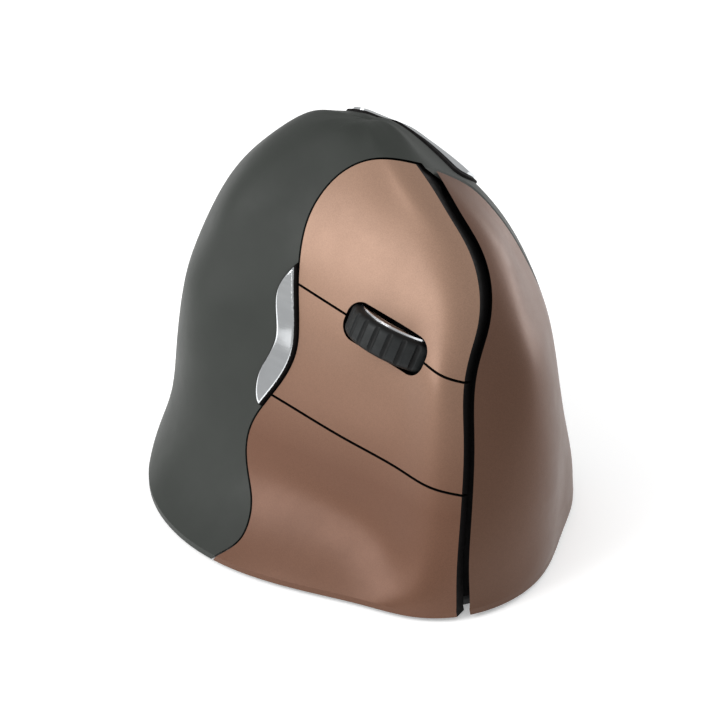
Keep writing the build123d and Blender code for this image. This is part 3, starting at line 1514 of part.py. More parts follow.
# Thumb board with its switches, their plungers and the lamp behind the indicator lens
with BuildPart() as thumb_board:
    with BuildSketch(thumb_plane.offset(-thumb_board_x - board_thickness)):
        with Locations(((-thumb_board_rear_share - thumb_board_front_share) * half_length / 2,
                        (thumb_board_bottom_share + thumb_board_top_share) * body_height / 2)):
            RectangleRounded((thumb_board_front_share - thumb_board_rear_share) * half_length,
                             (thumb_board_top_share - thumb_board_bottom_share) * body_height,
                             main_board_corner)
        with Locations(*[thumb_place(share) for share in thumb_post_shares]):
            Circle(board_screw_radius + tight_fit, mode=Mode.SUBTRACT)
    extrude(amount=board_thickness)
thumb_switch_places = [thumb_place(layout[0]) for layout in thumb_layouts.values()]
with BuildPart() as thumb_switches:
    with BuildSketch(thumb_plane.offset(-thumb_board_x)):
        with Locations(*thumb_switch_places):
            RectangleRounded(thumb_switch_side, thumb_switch_side, click_switch_corner)
    extrude(amount=thumb_switch_height)
    with BuildSketch(thumb_plane.offset(thumb_switch_top)):
        with Locations(*thumb_switch_places):
            Circle(thumb_plunger_radius + plunger_play)
    extrude(amount=-well_depth, mode=Mode.SUBTRACT)


def thumb_plunger_of(name):
    """Plunger of a thumb switch, resting against the stem of its button."""
    return rod(Plane(origin=(plunger_sink - thumb_switch_top,
                             -thumb_place(thumb_layouts[name][0])[0],
                             thumb_place(thumb_layouts[name][0])[1]),
                     x_dir=(0, -1, 0), z_dir=(-1, 0, 0)),
               thumb_plunger_radius, plunger_sink + thumb_plunger_rise)


with BuildPart() as indicator_lamp:
    with BuildSketch(thumb_plane.offset(-thumb_board_x)):
        with Locations(thumb_place(lens_strip_shares)):
            Rectangle(thumb_lamp_side, thumb_lamp_side)
    extrude(amount=thumb_lamp_height)


# Flat ribbons and their sockets
def ribbon_of(places, across):
    """Flat ribbon along a curve seen from the front, through places across and up."""
    under = moved_aside(places, -ribbon_thickness)
    with BuildPart() as band:
        with BuildSketch(Plane(origin=(0, across + ribbon_width / 2, 0), x_dir=(1, 0, 0),
                               z_dir=(0, -1, 0))):
            with BuildLine():
                upper = Spline(*places)
                lower = Spline(*under)
                Line(upper @ 0, lower @ 0)
                Line(upper @ 1, lower @ 1)
            make_face()
        extrude(amount=ribbon_width)
    return band.part


def socket_of(plane):
    """Ribbon socket that stands on a plane, with its width along the first direction."""
    with BuildPart() as body:
        with BuildSketch(plane):
            Rectangle(connector_width, connector_depth)
        extrude(amount=connector_height)
    return body.part


upright_socket_plane = Plane(
    origin=face_plane.from_local_coords((ribbon_place[0], ribbon_place[1], -upright_board_depth)),
    x_dir=(0, 1, 0), z_dir=-face_outward)
ribbon_across = face_origin_shares[1] * half_length + ribbon_place[0]
thumb_ribbon_across = centre_of(thumb_ribbon_share)[1]
thumb_socket_height = (thumb_board_bottom_share * body_height + connector_depth / 2 + part_play)
with BuildPart() as ribbon_sockets:
    add(socket_of(upright_socket_plane))
    add(socket_of(Plane(origin=(centre_of(upright_ribbon_share)[0], ribbon_across, board_face),
                        x_dir=(0, 1, 0), z_dir=(0, 0, 1))))
    add(socket_of(Plane(origin=(centre_of(thumb_ribbon_share)[0], thumb_ribbon_across, board_face),
                        x_dir=(0, 1, 0), z_dir=(0, 0, 1))))
    add(socket_of(Plane(origin=(thumb_board_x + board_thickness, thumb_ribbon_across,
                                thumb_socket_height), x_dir=(0, 1, 0), z_dir=(1, 0, 0))))
socket_top = board_face + connector_height
upright_mouth = face_plane.from_local_coords(
    (ribbon_place[0], ribbon_place[1], -upright_board_depth - connector_height))
with BuildPart() as upright_ribbon:
    upright_start = centre_of(upright_ribbon_share)[0]
    bow = (upright_mouth.X - upright_start) * ribbon_bow_share
    add(ribbon_of(((upright_start, socket_top), (upright_start, socket_top + bow / 2),
                   (upright_mouth.X - bow * face_outward.X, upright_mouth.Z - bow * face_outward.Z),
                   (upright_mouth.X, upright_mouth.Z)), ribbon_across))
with BuildPart() as thumb_ribbon:
    thumb_start = centre_of(thumb_ribbon_share)[0]
    thumb_mouth = thumb_board_x + board_thickness + connector_height
    rise = thumb_socket_height - socket_top
    add(ribbon_of(((thumb_start, socket_top), (thumb_start, socket_top + rise * ribbon_bow_share),
                   (thumb_mouth + rise * ribbon_bow_share / 2, thumb_socket_height),
                   (thumb_mouth, thumb_socket_height)), thumb_ribbon_across))

nodes = {
    "main_shell": main_shell.part,
    "nose_panel": nose_panel.part,
    "index_button": index_button,
    "middle_button": middle_button,
    "ring_button": ring_button,
    "chrome_side_trim": chrome_side_trim.part,
    "top_plate": top_plate.part,
    "slot_liner": slot_liner.part,
    "forward_button": forward_button,
    "back_button": back_button,
    "speed_button": speed_button,
    "indicator_lens": indicator_lens.part,
    "hinge_pins": hinge_pins.part,
    "upright_frame": upright_frame.part,
    "upright_board": upright_board.part,
    "index_switch": switch_of("index"),
    "middle_switch": switch_of("middle"),
    "ring_switch": switch_of("ring"),
    "index_plunger": plunger_of("index"),
    "middle_plunger": plunger_of("middle"),
    "ring_plunger": plunger_of("ring"),
    "wheel_tyre": wheel_tyre.part,
    "wheel_hub": wheel_hub.part,
    "wheel_ring": wheel_ring.part,
    "wheel_axle": wheel_axle.part,
    "wheel_carrier": wheel_carrier.part,
    "carrier_pin": carrier_pin.part,
    "wheel_switch": wheel_switch.part,
    "wheel_plunger": wheel_plunger.part,
    "encoder_light": encoder_light.part,
    "encoder_sensor": encoder_sensor.part,
    "base_plate": base_plate.part,
    "glide_feet": glide_feet.part,
    "base_screws": base_screws.part,
    "board_screws": board_screws.part,
    "frame_screws": frame_screws.part,
    "battery": battery.part,
    "battery_contacts": battery_contacts.part,
    "battery_spring": battery_spring.part,
    "battery_door": battery_door.part,
    "main_board": main_board.part,
    "sensor_lens": sensor_lens.part,
    "sensor_chip": sensor_chip.part,
    "controller_chip": controller_chip,
    "radio_module": radio_module,
    "clock_crystal": clock_crystal,
    "power_switch": power_switch.part,
    "power_slider": power_slider.part,
    "pairing_button": pairing_button.part,
    "pairing_switch": pairing_switch.part,
    "thumb_board": thumb_board.part,
    "thumb_switches": thumb_switches.part,
    "forward_plunger": thumb_plunger_of("forward"),
    "back_plunger": thumb_plunger_of("back"),
    "speed_plunger": thumb_plunger_of("speed"),
    "indicator_lamp": indicator_lamp.part,
    "ribbon_sockets": ribbon_sockets.part,
    "upright_ribbon": upright_ribbon.part,
    "thumb_ribbon": thumb_ribbon.part,
}
os.makedirs("parts", exist_ok=True)
for name, solid in nodes.items():
    solid.label = name
    export_step(solid, f"parts/{name}.step")
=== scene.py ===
# %% [markdown]
# # A vertical ergonomic mouse
#
# The mouse stands on the desk like a hand held out for a handshake. Its frame, with every
# piece at its real size, comes from the CAD step, and nothing is modelled here. This lesson
# gives the pieces their finishes and lights the whole like a product photo. Lengths are in
# metres, and +Z is up.

# %% Start with an empty scene and the CAD frame
import json
import math

import bmesh
import bpy
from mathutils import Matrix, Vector

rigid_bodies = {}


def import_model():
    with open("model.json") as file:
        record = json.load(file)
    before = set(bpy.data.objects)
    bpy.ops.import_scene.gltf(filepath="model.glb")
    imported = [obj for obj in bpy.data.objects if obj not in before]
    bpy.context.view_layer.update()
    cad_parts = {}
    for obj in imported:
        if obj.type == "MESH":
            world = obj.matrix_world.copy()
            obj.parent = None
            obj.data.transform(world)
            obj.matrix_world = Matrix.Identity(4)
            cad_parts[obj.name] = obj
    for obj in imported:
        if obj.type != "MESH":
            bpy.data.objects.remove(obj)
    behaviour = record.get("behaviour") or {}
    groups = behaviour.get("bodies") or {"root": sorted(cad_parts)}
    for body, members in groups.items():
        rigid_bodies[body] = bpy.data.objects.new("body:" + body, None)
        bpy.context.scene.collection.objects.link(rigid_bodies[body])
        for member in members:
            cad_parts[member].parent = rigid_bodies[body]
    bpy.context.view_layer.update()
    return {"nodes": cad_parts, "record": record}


for leftover in list(bpy.data.objects):
    bpy.data.objects.remove(leftover)
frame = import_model()
nodes = frame["nodes"]
scene = bpy.context.scene
mm = 0.001
print("CAD nodes:", len(nodes))

# %% [markdown]
# ## Soft edges and smooth skins
#
# The real covers are moulded plastic, smooth all over, with crisp edges only at the seams. A
# much finer mesh would look smooth by itself, but the CAD meshes stay as they are. Smooth
# shading with an angle limit does the same: faces that meet at a small angle are shaded as
# one skin, and the rims of the seams stay sharp.

# %% Shade every CAD node by angle
crisp_angle = 28

for node in nodes.values():
    for polygon in node.data.polygons:
        polygon.use_smooth = True
    node.data.set_sharp_from_angle(angle=math.radians(crisp_angle))
print("shaded", len(nodes), "nodes; edges above", crisp_angle, "degrees stay crisp")

# %% [markdown]
# ## Finishes made of nodes
#
# A finish on a real mouse is never one flat colour. It could be painted in a picture and laid
# over the mesh, but then each piece would have to be unwrapped. Here every finish is built
# from noise and mixing nodes instead, which need only the place of a point on the piece. All
# of them share three things: a colour and a roughness that wander a little, and a fine bump.

# %% A finish to start from
def new_finish(name):
    """A material with a Principled shader, and the place of a point in object coordinates."""
    material = bpy.data.materials.new(name)
    material.use_nodes = True
    tree = material.node_tree
    shader = tree.nodes["Principled BSDF"]
    place = tree.nodes.new("ShaderNodeTexCoord")
    print("new finish:", name)
    return material, tree, shader, place.outputs["Object"]


# %% [markdown]
# A noise texture gives every place a number, most of them near the middle between 0 and 1. A
# map range stretches that middle to the values that are wanted. Object coordinates are in
# metres, so a noise scale of 4000 gives spots of about a quarter of a millimetre, and a scale
# of 60 gives clouds of nearly two centimetres.

# %% Noise, and a range of values
def noise(tree, place, scale, detail, roughness=0.5):
    """A noise texture read at a place."""
    texture = tree.nodes.new("ShaderNodeTexNoise")
    texture.inputs["Scale"].default_value = scale
    texture.inputs["Detail"].default_value = detail
    texture.inputs["Roughness"].default_value = roughness
    tree.links.new(place, texture.inputs["Vector"])
    return texture.outputs["Fac"]


def spread(tree, value, low, high, start=0.35, end=0.65):
    """Maps the values between start and end to those from low to high."""
    ramp = tree.nodes.new("ShaderNodeMapRange")
    ramp.inputs["From Min"].default_value = start
    ramp.inputs["From Max"].default_value = end
    ramp.inputs["To Min"].default_value = low
    ramp.inputs["To Max"].default_value = high
    tree.links.new(value, ramp.inputs["Value"])
    return ramp.outputs["Result"]


# %% [markdown]
# A mix node turns a number into a colour. With the noise as that number, the colour wanders
# in clouds between two near tones, like the slight unevenness of dyed plastic.

# %% Colours that wander
def blend(tree, factor, first, second):
    """A colour between two others, which are tones or come from other nodes."""
    mix = tree.nodes.new("ShaderNodeMix")
    mix.data_type = "RGBA"
    tree.links.new(factor, mix.inputs["Factor"])
    for socket, colour in (("A", first), ("B", second)):
        if isinstance(colour, bpy.types.NodeSocket):
            tree.links.new(colour, mix.inputs[socket])
        else:
            mix.inputs[socket].default_value = (*colour, 1)
    return mix.outputs["Result"]


def mottled(tree, place, scale, detail, first, second):
    """A colour that wanders in clouds between two near tones."""
    clouds = spread(tree, noise(tree, place, scale, detail), low=0, high=1)
    return blend(tree, clouds, first, second)


# %% [markdown]
# Wear shows in the roughness: it wanders between a smooth and a dull value. The grain of a
# mould is a bump. It tilts the light and leaves the mesh as it is, which suits a grain of a
# few hundredths of a millimetre. As real relief it would take millions of polygons.

# %% Wear and grain
def wear(tree, shader, place, scale, detail, smooth, dull, noise_roughness=0.5):
    """A roughness that wanders between a smooth and a dull value."""
    patches = noise(tree, place, scale, detail, noise_roughness)
    tree.links.new(spread(tree, patches, smooth, dull), shader.inputs["Roughness"])


def grain(tree, shader, height, depth, strength):
    """A fine bump on a shader."""
    bump = tree.nodes.new("ShaderNodeBump")
    bump.inputs["Distance"].default_value = depth
    bump.inputs["Strength"].default_value = strength
    tree.links.new(height, bump.inputs["Height"])
    tree.links.new(bump.outputs["Normal"], shader.inputs["Normal"])


# %% [markdown]
# A mesh keeps its materials in slots. The last helper empties the slots of a CAD mesh and
# puts the new finish there, so that the whole piece wears it.

# %% Give a finish to pieces
def give(material, *names):
    """Gives a finish to whole pieces."""
    for name in names:
        mesh = bpy.data.objects[name].data
        mesh.materials.clear()
        mesh.materials.append(material)
    print(material.name, "on", ", ".join(names))


# %% [markdown]
# ## Dark shell
#
# The shell is a charcoal plastic with a hint of green and a silky, slightly rubbery coat, so
# its highlights are wide and dull. A high roughness alone would make it look like chalk. So
# the roughness stays moderate and lies in soft patches, where a palm has polished the coat,
# and a little sheen lifts the tone towards the edges, the way a soft-touch coat does.

# %% Soft dark coat of the shell
dark_coat, tree, shader, place = new_finish("dark_soft_coat")
charcoal = mottled(tree, place, scale=60, detail=3,
                   first=(0.022, 0.0255, 0.022), second=(0.026, 0.030, 0.026))
tree.links.new(charcoal, shader.inputs["Base Color"])
wear(tree, shader, place, scale=50, detail=8, smooth=0.48, dull=0.60, noise_roughness=0.62)
grain(tree, shader, noise(tree, place, scale=5200, detail=2), depth=0.02 * mm, strength=0.35)
shader.inputs["Specular IOR Level"].default_value = 0.3
shader.inputs["Sheen Weight"].default_value = 0.05
shader.inputs["Sheen Roughness"].default_value = 0.5
give(dark_coat, "main_shell")

# %% [markdown]
# ## Copper lacquer
#
# The finger buttons and the nose panel wear a brown metallic lacquer. Metal flakes are mixed
# into it, so it is partly metallic, and each flake leans its own way. Small cells change the
# tone from flake to flake, and a thin clear coat lies on top.
#
# The colour is graded by height, and this is painted light and shade: light copper near the top
# of the hand, as if lit from above, and a deeper brown towards the foot, as if in shade. That
# could be painted by hand on the mesh. The height of a point above the desk does the same with
# one node, and the grading runs on from one button to the next. Hands polish a lacquer in soft
# patches, so the roughness follows a noise of many octaves, from patches of a centimetre to fine
# haze.

# %% Metallic lacquer of the buttons and the nose panel
flakes_per_metre = 7000
dark_flake = 0.85
# Heights over which the painted shade of the foot turns into the painted light of the top
painted_light_fade_low = 22 * mm
painted_light_fade_high = 60 * mm
patch_depth = 0.05


def metallic_lacquer(name, lit_top_tone, shaded_foot_tone, rough):
    """Brown metallic lacquer with fine flakes, and painted light and shade: lighter at the top,
    darker towards the foot.
    """
    material, tree, shader, place = new_finish(name)
    flakes = tree.nodes.new("ShaderNodeTexVoronoi")
    flakes.inputs["Scale"].default_value = flakes_per_metre
    tree.links.new(place, flakes.inputs["Vector"])
    split = tree.nodes.new("ShaderNodeSeparateColor")
    tree.links.new(flakes.outputs["Color"], split.inputs["Color"])
    flake = spread(tree, split.outputs["Red"], low=0, high=1, start=0, end=1)
    # Painted light and shade: a lighter tone for the top and a darker one for the foot, mixed by
    # height below
    lit_top_flakes = blend(tree, flake, [dark_flake * part for part in lit_top_tone], lit_top_tone)
    shaded_foot_flakes = blend(tree, flake, [dark_flake * part for part in shaded_foot_tone], shaded_foot_tone)
    height = tree.nodes.new("ShaderNodeSeparateXYZ")
    tree.links.new(place, height.inputs["Vector"])
    rise = spread(tree, height.outputs["Z"], low=0, high=1, start=painted_light_fade_low, end=painted_light_fade_high)
    tree.links.new(blend(tree, rise, shaded_foot_flakes, lit_top_flakes), shader.inputs["Base Color"])
    wear(tree, shader, place, scale=70, detail=8, smooth=rough - patch_depth,
         dull=rough + patch_depth, noise_roughness=0.62)
    grain(tree, shader, split.outputs["Green"], depth=0.008 * mm, strength=0.25)
    shader.inputs["Metallic"].default_value = 0.35
    shader.inputs["Specular IOR Level"].default_value = 0.25
    shader.inputs["Coat Weight"].default_value = 0.16
    shader.inputs["Coat Roughness"].default_value = 0.3
    return material


# %% [markdown]
# The nose panel is the same copper paint with painted shade: its lacquer is made much darker
# than that of the buttons, because the panel turns away from the light, so it gets a lacquer of
# its own.
# The three thumb buttons are small and seen from outside only, so they wear the copper all
# over. The finger buttons get theirs further on, where the spray is limited to the outside.

# %% Copper for the buttons, a copy with painted shade for the nose
copper = metallic_lacquer("copper_lacquer", lit_top_tone=(0.325, 0.198, 0.137),
                          shaded_foot_tone=(0.152, 0.071, 0.042), rough=0.48)
# The same copper lacquer, darkened as painted shade for the nose panel
nose_shaded_copper = metallic_lacquer("nose_shaded_lacquer", lit_top_tone=(0.118, 0.059, 0.037),
                              shaded_foot_tone=(0.106, 0.051, 0.030), rough=0.44)
give(copper, "forward_button", "back_button", "speed_button")

# %% [markdown]
# ## Chrome
#
# The side trim and the top plate are plated plastic: a mirror with the faintest haze and a
# few hairline wipe marks. A perfect mirror would look like a cut-out. The marks come from a
# noise that is stretched along one direction, which draws out its spots to lines.

# %% Plated chrome
wipe_stretch = (1.0, 0.06, 0.3)
chrome, tree, shader, place = new_finish("plated_chrome")
stretch = tree.nodes.new("ShaderNodeMapping")
stretch.inputs["Scale"].default_value = wipe_stretch
tree.links.new(place, stretch.inputs["Vector"])
wipes = noise(tree, stretch.outputs["Vector"], scale=2600, detail=2)
tree.links.new(spread(tree, wipes, low=0.07, high=0.13), shader.inputs["Roughness"])
silver = mottled(tree, place, scale=40, detail=2,
                 first=(0.68, 0.70, 0.72), second=(0.76, 0.78, 0.79))
tree.links.new(silver, shader.inputs["Base Color"])
shader.inputs["Metallic"].default_value = 1.0
grain(tree, shader, wipes, depth=0.001 * mm, strength=0.2)

# %% [markdown]
# ## Rubber of the wheel
#
# The tyre is a dull grey-black rubber with grooves across it, and a turned metal ring sits in
# its side. Both finishes could be made by picking polygons. They follow from one number
# instead: how far a point lies from the axle. The axle's place and direction are those of the
# wheel's joint, and a few vector nodes measure the distance, so the finish turns with the
# wheel.

# %% Distance from the wheel's axle, as nodes
joints = frame["record"]["behaviour"]["joints"]
spin = next(joint for joint in joints if joint["name"] == "wheel_spin")
print("the wheel turns about", spin["pos_m"])


def vector_step(tree, operation, *inputs):
    """A vector node whose inputs are fixed vectors or come from other nodes."""
    step = tree.nodes.new("ShaderNodeVectorMath")
    step.operation = operation
    for socket, value in zip(step.inputs, inputs):
        if isinstance(value, bpy.types.NodeSocket):
            tree.links.new(value, socket)
        else:
            socket.default_value = value
    return step.outputs


def from_axle(tree, place):
    """The distance of a point from the axle, in metres."""
    step = vector_step(tree, "SUBTRACT", place, spin["pos_m"])["Vector"]
    along = vector_step(tree, "DOT_PRODUCT", step, spin["axis"])["Value"]
    foot = vector_step(tree, "SCALE", spin["axis"])["Vector"]
    tree.links.new(along, foot.node.inputs["Scale"])
    out_line = vector_step(tree, "SUBTRACT", step, foot)["Vector"]
    return vector_step(tree, "LENGTH", out_line)["Value"]


# %% [markdown]
# The grooves get painted shade. The tone is mixed by the distance: nearly black at the floor of
# a groove, grey rubber at the top of a ridge, and the sides of the tyre darken the same way
# where they come nearer the axle.

# %% Rubber of the tyre, with painted shade in the grooves
groove_floor = 11.85 * mm
ridge_top = 12.25 * mm
# Painted shade for the floor of each groove and for the tyre's sides near the axle
groove_shade_black = (0.002, 0.0022, 0.0023)
rubber, tree, shader, place = new_finish("wheel_rubber")
groove_shade_mask = spread(tree, from_axle(tree, place), low=0, high=1, start=groove_floor, end=ridge_top)
worn = mottled(tree, place, scale=300, detail=3,
               first=(0.008, 0.0095, 0.0097), second=(0.012, 0.0140, 0.0145))
tree.links.new(blend(tree, groove_shade_mask, groove_shade_black, worn), shader.inputs["Base Color"])
wear(tree, shader, place, scale=500, detail=3, smooth=0.48, dull=0.66)
grain(tree, shader, noise(tree, place, scale=6000, detail=2), depth=0.015 * mm, strength=0.4)
shader.inputs["Specular IOR Level"].default_value = 0.3
give(rubber, "wheel_tyre")

# %% [markdown]
# ## Ring in the side of the wheel
#
# The ring is turned: two narrow polished lips with a dull black recess between them. A colour
# ramp over the same distance picks the lips out, and needs no second piece for the recess.

# %% Polished lips of the wheel ring
ring_inner = 8.9 * mm
ring_outer = 10.7 * mm
polished = 0.75
recess = 0.008
ring_finish, tree, shader, place = new_finish("turned_ring")
lips = tree.nodes.new("ShaderNodeValToRGB")
stops = lips.color_ramp.elements
for end_stop in stops:
    end_stop.color = (0.75, 0.76, 0.78, 1)
for share, tone in ((0.10, polished), (0.16, recess), (0.80, recess), (0.86, polished)):
    stop = stops.new(share)
    stop.color = (tone, tone, tone, 1)
across = spread(tree, from_axle(tree, place), low=0, high=1, start=ring_inner, end=ring_outer)
tree.links.new(across, lips.inputs["Fac"])
tree.links.new(lips.outputs["Color"], shader.inputs["Base Color"])
wear(tree, shader, place, scale=1200, detail=2, smooth=0.14, dull=0.24)
shader.inputs["Metallic"].default_value = 1.0
give(ring_finish, "wheel_ring")

# %% [markdown]
# ## Moulded plastics of the inner pieces
#
# The inner pieces are plain moulded plastic: black where light mustn't leak out, pale where
# a small part is bought in. One helper makes them all from two near tones, a range of
# roughness and the grain of the mould, since only these differ from piece to piece.

# %% A helper for moulded plastics
def plain_plastic(name, first, second, smooth, dull, grain_scale=3500, grain_strength=0.3):
    """A moulded plastic with a fine grain."""
    material, tree, shader, place = new_finish(name)
    tone = mottled(tree, place, scale=150, detail=3, first=first, second=second)
    tree.links.new(tone, shader.inputs["Base Color"])
    wear(tree, shader, place, scale=800, detail=3, smooth=smooth, dull=dull)
    grain(tree, shader, noise(tree, place, grain_scale, detail=2), 0.02 * mm, grain_strength)
    return material


# %% [markdown]
# What is seen deep in a seam or behind the wheel is given painted shade: this black is several
# times darker than the other black plastics here, so that it reads as the shade in there. An
# ordinary black plastic still glints in there, so the inner black is also duller and reflects
# less than usual.

# %% Black with painted shade for what lies behind the seams
inner_black_shade = plain_plastic("inner_black_shade", first=(0.0035, 0.003, 0.003),
                            second=(0.006, 0.005, 0.005), smooth=0.65, dull=0.8)
inner_black_shade.node_tree.nodes["Principled BSDF"].inputs["Specular IOR Level"].default_value = 0.15
give(inner_black_shade, "slot_liner", "wheel_hub", "wheel_carrier", "upright_frame")

# %% [markdown]
# ## Lacquer on the outside only
#
# The buttons and the nose panel are moulded in black plastic and sprayed from outside, so their
# side walls and their inner faces stay black. That black is partly the bare moulding and partly
# painted shade: it makes the seams and the slot read as dark lines, as the shade between the
# parts does. The painted polygons could be picked by the way they face, but then a curved skin
# would lose paint at its edges. So the paint flows: it starts from the polygon that lies
# furthest out, spreads over every edge that bends less than a limit, and stops at the rims.

# %% Paint that flows over a skin
def flow(front, reached, limit):
    """Spreads paint to every neighbour whose lean against its polygon is small enough."""
    while front:
        face = front.pop()
        for edge in face.edges:
            for other in edge.link_faces:
                if other not in reached and other.normal.dot(face.normal) > limit:
                    reached.add(other)
                    front.append(other)


# %% [markdown]
# The CAD mesh is cut open along its seams, where the paint would stop too early. So nearby
# corners are joined first, in a copy of the mesh that is thrown away afterwards. Each piece
# gets two slots, the lacquer and the plastic under it, and every polygon is told which one
# it wears.

# %% Keep the lacquer on the outer skin
join_distance = 0.002 * mm


def spray_outside(name, lacquer, under, out_direction, bend=24, lean=180, over_rim=False):
    """Lacquer on the skin that looks out, the plastic under it everywhere else."""
    mesh = bpy.data.objects[name].data
    mesh.materials.clear()
    mesh.materials.append(lacquer)
    mesh.materials.append(under)
    shape = bmesh.new()
    shape.from_mesh(mesh)
    number = {face: index for index, face in enumerate(shape.faces)}
    bmesh.ops.remove_doubles(shape, verts=shape.verts, dist=join_distance)
    alive = [face for face in number if face.is_valid]
    first = max(alive, key=lambda face: face.calc_center_median().dot(out_direction))
    reached = {first}
    limit = math.cos(math.radians(bend))
    flow([first], reached, limit)
    if over_rim:
        rim = {other for face in reached for edge in face.edges for other in edge.link_faces}
        rim -= reached
        reached |= rim
        flow(list(rim), reached, limit)
    least = math.cos(math.radians(lean))
    painted = {number[face] for face in reached if face.normal.dot(out_direction) > least}
    shape.free()
    for polygon in mesh.polygons:
        polygon.material_index = 0 if polygon.index in painted else 1
    print(name, "lacquered polygons:", len(painted), "of", len(mesh.polygons))


# %% [markdown]
# The finger face leans back by 25 degrees, and its buttons are sprayed from that side. The nose
# panel is sprayed from the front. The two chrome pieces are plated in the same way: the side
# trim on its broad face only, and the top plate on its crown and the crown's walls, with a black
# flange round it. The black sides of the trim and the black flange are painted shade: they draw
# the dark seam lines where the chrome meets the shell.

# %% Spray the buttons and the nose, plate the trims
face_lean = math.radians(25)
finger_side = Vector((math.cos(face_lean), 0.0, math.sin(face_lean)))
nose_side = Vector((0.0, 1.0, 0.0))
plate_side = Vector((-0.704, 0.101, 0.704))
# The black walls of the buttons and the nose are partly bare moulding and partly painted shade
# in the seams and the slot
for button in ("index_button", "middle_button", "ring_button"):
    spray_outside(button, copper, inner_black_shade, finger_side)
spray_outside("nose_panel", nose_shaded_copper, inner_black_shade, nose_side)
# The black sides of the trim and the black flange of the plate are painted shade for the dark
# seams round the chrome
spray_outside("chrome_side_trim", chrome, inner_black_shade, finger_side, lean=32)
spray_outside("top_plate", chrome, inner_black_shade, plate_side, over_rim=True)

# %% [markdown]
# ## Underside
#
# The base plate, the battery door and the two controls on the underside are black plastic. It
# has a coarser grain than the shell, which hides scratches from the desk. The glide feet are
# a slick film, so their roughness is much lower.

# %% Plastics of the underside
base_black = plain_plastic("base_black", first=(0.016, 0.017, 0.017),
                           second=(0.022, 0.023, 0.023), smooth=0.5, dull=0.62,
                           grain_scale=2200, grain_strength=0.5)
give(base_black, "base_plate", "battery_door", "pairing_button", "power_slider")
glide = plain_plastic("glide_film", first=(0.035, 0.035, 0.037),
                      second=(0.045, 0.045, 0.048), smooth=0.22, dull=0.32, grain_scale=900)
give(glide, "glide_feet")

# %% [markdown]
# ## Bought parts
#
# Switches and chips are black, their plungers and the ribbon sockets are pale, and the
# ribbons are a milky film. They are seen only when the mouse is open, so plain plastics with
# a slight grain are enough.

# %% Plastics of the bought parts
part_black = plain_plastic("component_black", first=(0.012, 0.012, 0.013),
                           second=(0.018, 0.018, 0.019), smooth=0.4, dull=0.5)
give(part_black, "index_switch", "middle_switch", "ring_switch", "wheel_switch", "power_switch",
     "pairing_switch", "thumb_switches", "sensor_chip", "controller_chip", "encoder_sensor")
part_pale = plain_plastic("component_pale", first=(0.62, 0.60, 0.54),
                          second=(0.70, 0.68, 0.62), smooth=0.4, dull=0.5)
give(part_pale, "index_plunger", "middle_plunger", "ring_plunger", "wheel_plunger",
     "forward_plunger", "back_plunger", "speed_plunger", "ribbon_sockets", "indicator_lamp")
ribbon_film = plain_plastic("ribbon_film", first=(0.55, 0.54, 0.50),
                            second=(0.62, 0.61, 0.56), smooth=0.3, dull=0.4)
give(ribbon_film, "upright_ribbon", "thumb_ribbon")

# %% [markdown]
# ## Metals inside
#
# Pins, contacts and screws are turned or stamped steel. The screws are dark, the pins and
# contacts are bright. A real turned pin has rings round it. At this size a fine noise in
# roughness and bump gives the same broken glint with less work.

# %% Steel finishes
def plain_metal(name, first, second, smooth, dull):
    """A metal with small scratches."""
    material, tree, shader, place = new_finish(name)
    tone = mottled(tree, place, scale=200, detail=3, first=first, second=second)
    tree.links.new(tone, shader.inputs["Base Color"])
    wear(tree, shader, place, scale=1800, detail=4, smooth=smooth, dull=dull)
    shader.inputs["Metallic"].default_value = 1.0
    grain(tree, shader, noise(tree, place, scale=2400, detail=3), depth=0.006 * mm, strength=0.3)
    return material


steel = plain_metal("bright_steel", first=(0.56, 0.56, 0.55), second=(0.64, 0.64, 0.63),
                    smooth=0.22, dull=0.34)
give(steel, "hinge_pins", "carrier_pin", "wheel_axle", "battery_spring", "battery_contacts",
     "radio_module", "clock_crystal")
dark_steel = plain_metal("dark_screw_steel", first=(0.10, 0.10, 0.11), second=(0.15, 0.15, 0.16),
                         smooth=0.3, dull=0.42)
give(dark_steel, "base_screws", "board_screws", "frame_screws")

# %% [markdown]
# ## Circuit boards
#
# Solder mask is a glossy green skin. The traces under it show as slightly lighter lines. A
# real layout would be a drawing of its own, so a brick pattern with thin joints stands in
# for the traces, in the tone and as a faint bump.

# %% Solder mask of the boards
board, tree, shader, place = new_finish("solder_mask")
traces = tree.nodes.new("ShaderNodeTexBrick")
traces.inputs["Scale"].default_value = 160
traces.inputs["Mortar Size"].default_value = 0.03
traces.inputs["Color1"].default_value = (0.006, 0.060, 0.024, 1)
traces.inputs["Color2"].default_value = (0.008, 0.072, 0.028, 1)
traces.inputs["Mortar"].default_value = (0.018, 0.13, 0.055, 1)
tree.links.new(place, traces.inputs["Vector"])
tree.links.new(traces.outputs["Color"], shader.inputs["Base Color"])
wear(tree, shader, place, scale=700, detail=2, smooth=0.25, dull=0.35)
grain(tree, shader, traces.outputs["Fac"], depth=0.02 * mm, strength=0.3)
give(board, "main_board", "upright_board", "thumb_board")

# %% [markdown]
# ## Clear parts
#
# The sensor lens, the indicator and the lamp of the wheel sensor are clear plastic. A glass
# shader would be too clean for them. Here most of the light goes through, and a slight haze
# shows that they are moulded.

# %% Clear plastic
clear, tree, shader, place = new_finish("clear_lens")
milky = mottled(tree, place, scale=300, detail=2,
                first=(0.80, 0.84, 0.86), second=(0.88, 0.90, 0.92))
tree.links.new(milky, shader.inputs["Base Color"])
wear(tree, shader, place, scale=900, detail=2, smooth=0.10, dull=0.18)
shader.inputs["Transmission Weight"].default_value = 0.8
shader.inputs["IOR"].default_value = 1.49
give(clear, "sensor_lens", "indicator_lens", "encoder_light")

# %% [markdown]
# ## Battery
#
# The cell wears a plain shrink wrap without any print. It is grey-green, with a paler band
# at one end. The distance along the cell tells the two apart, so no second slot is needed.

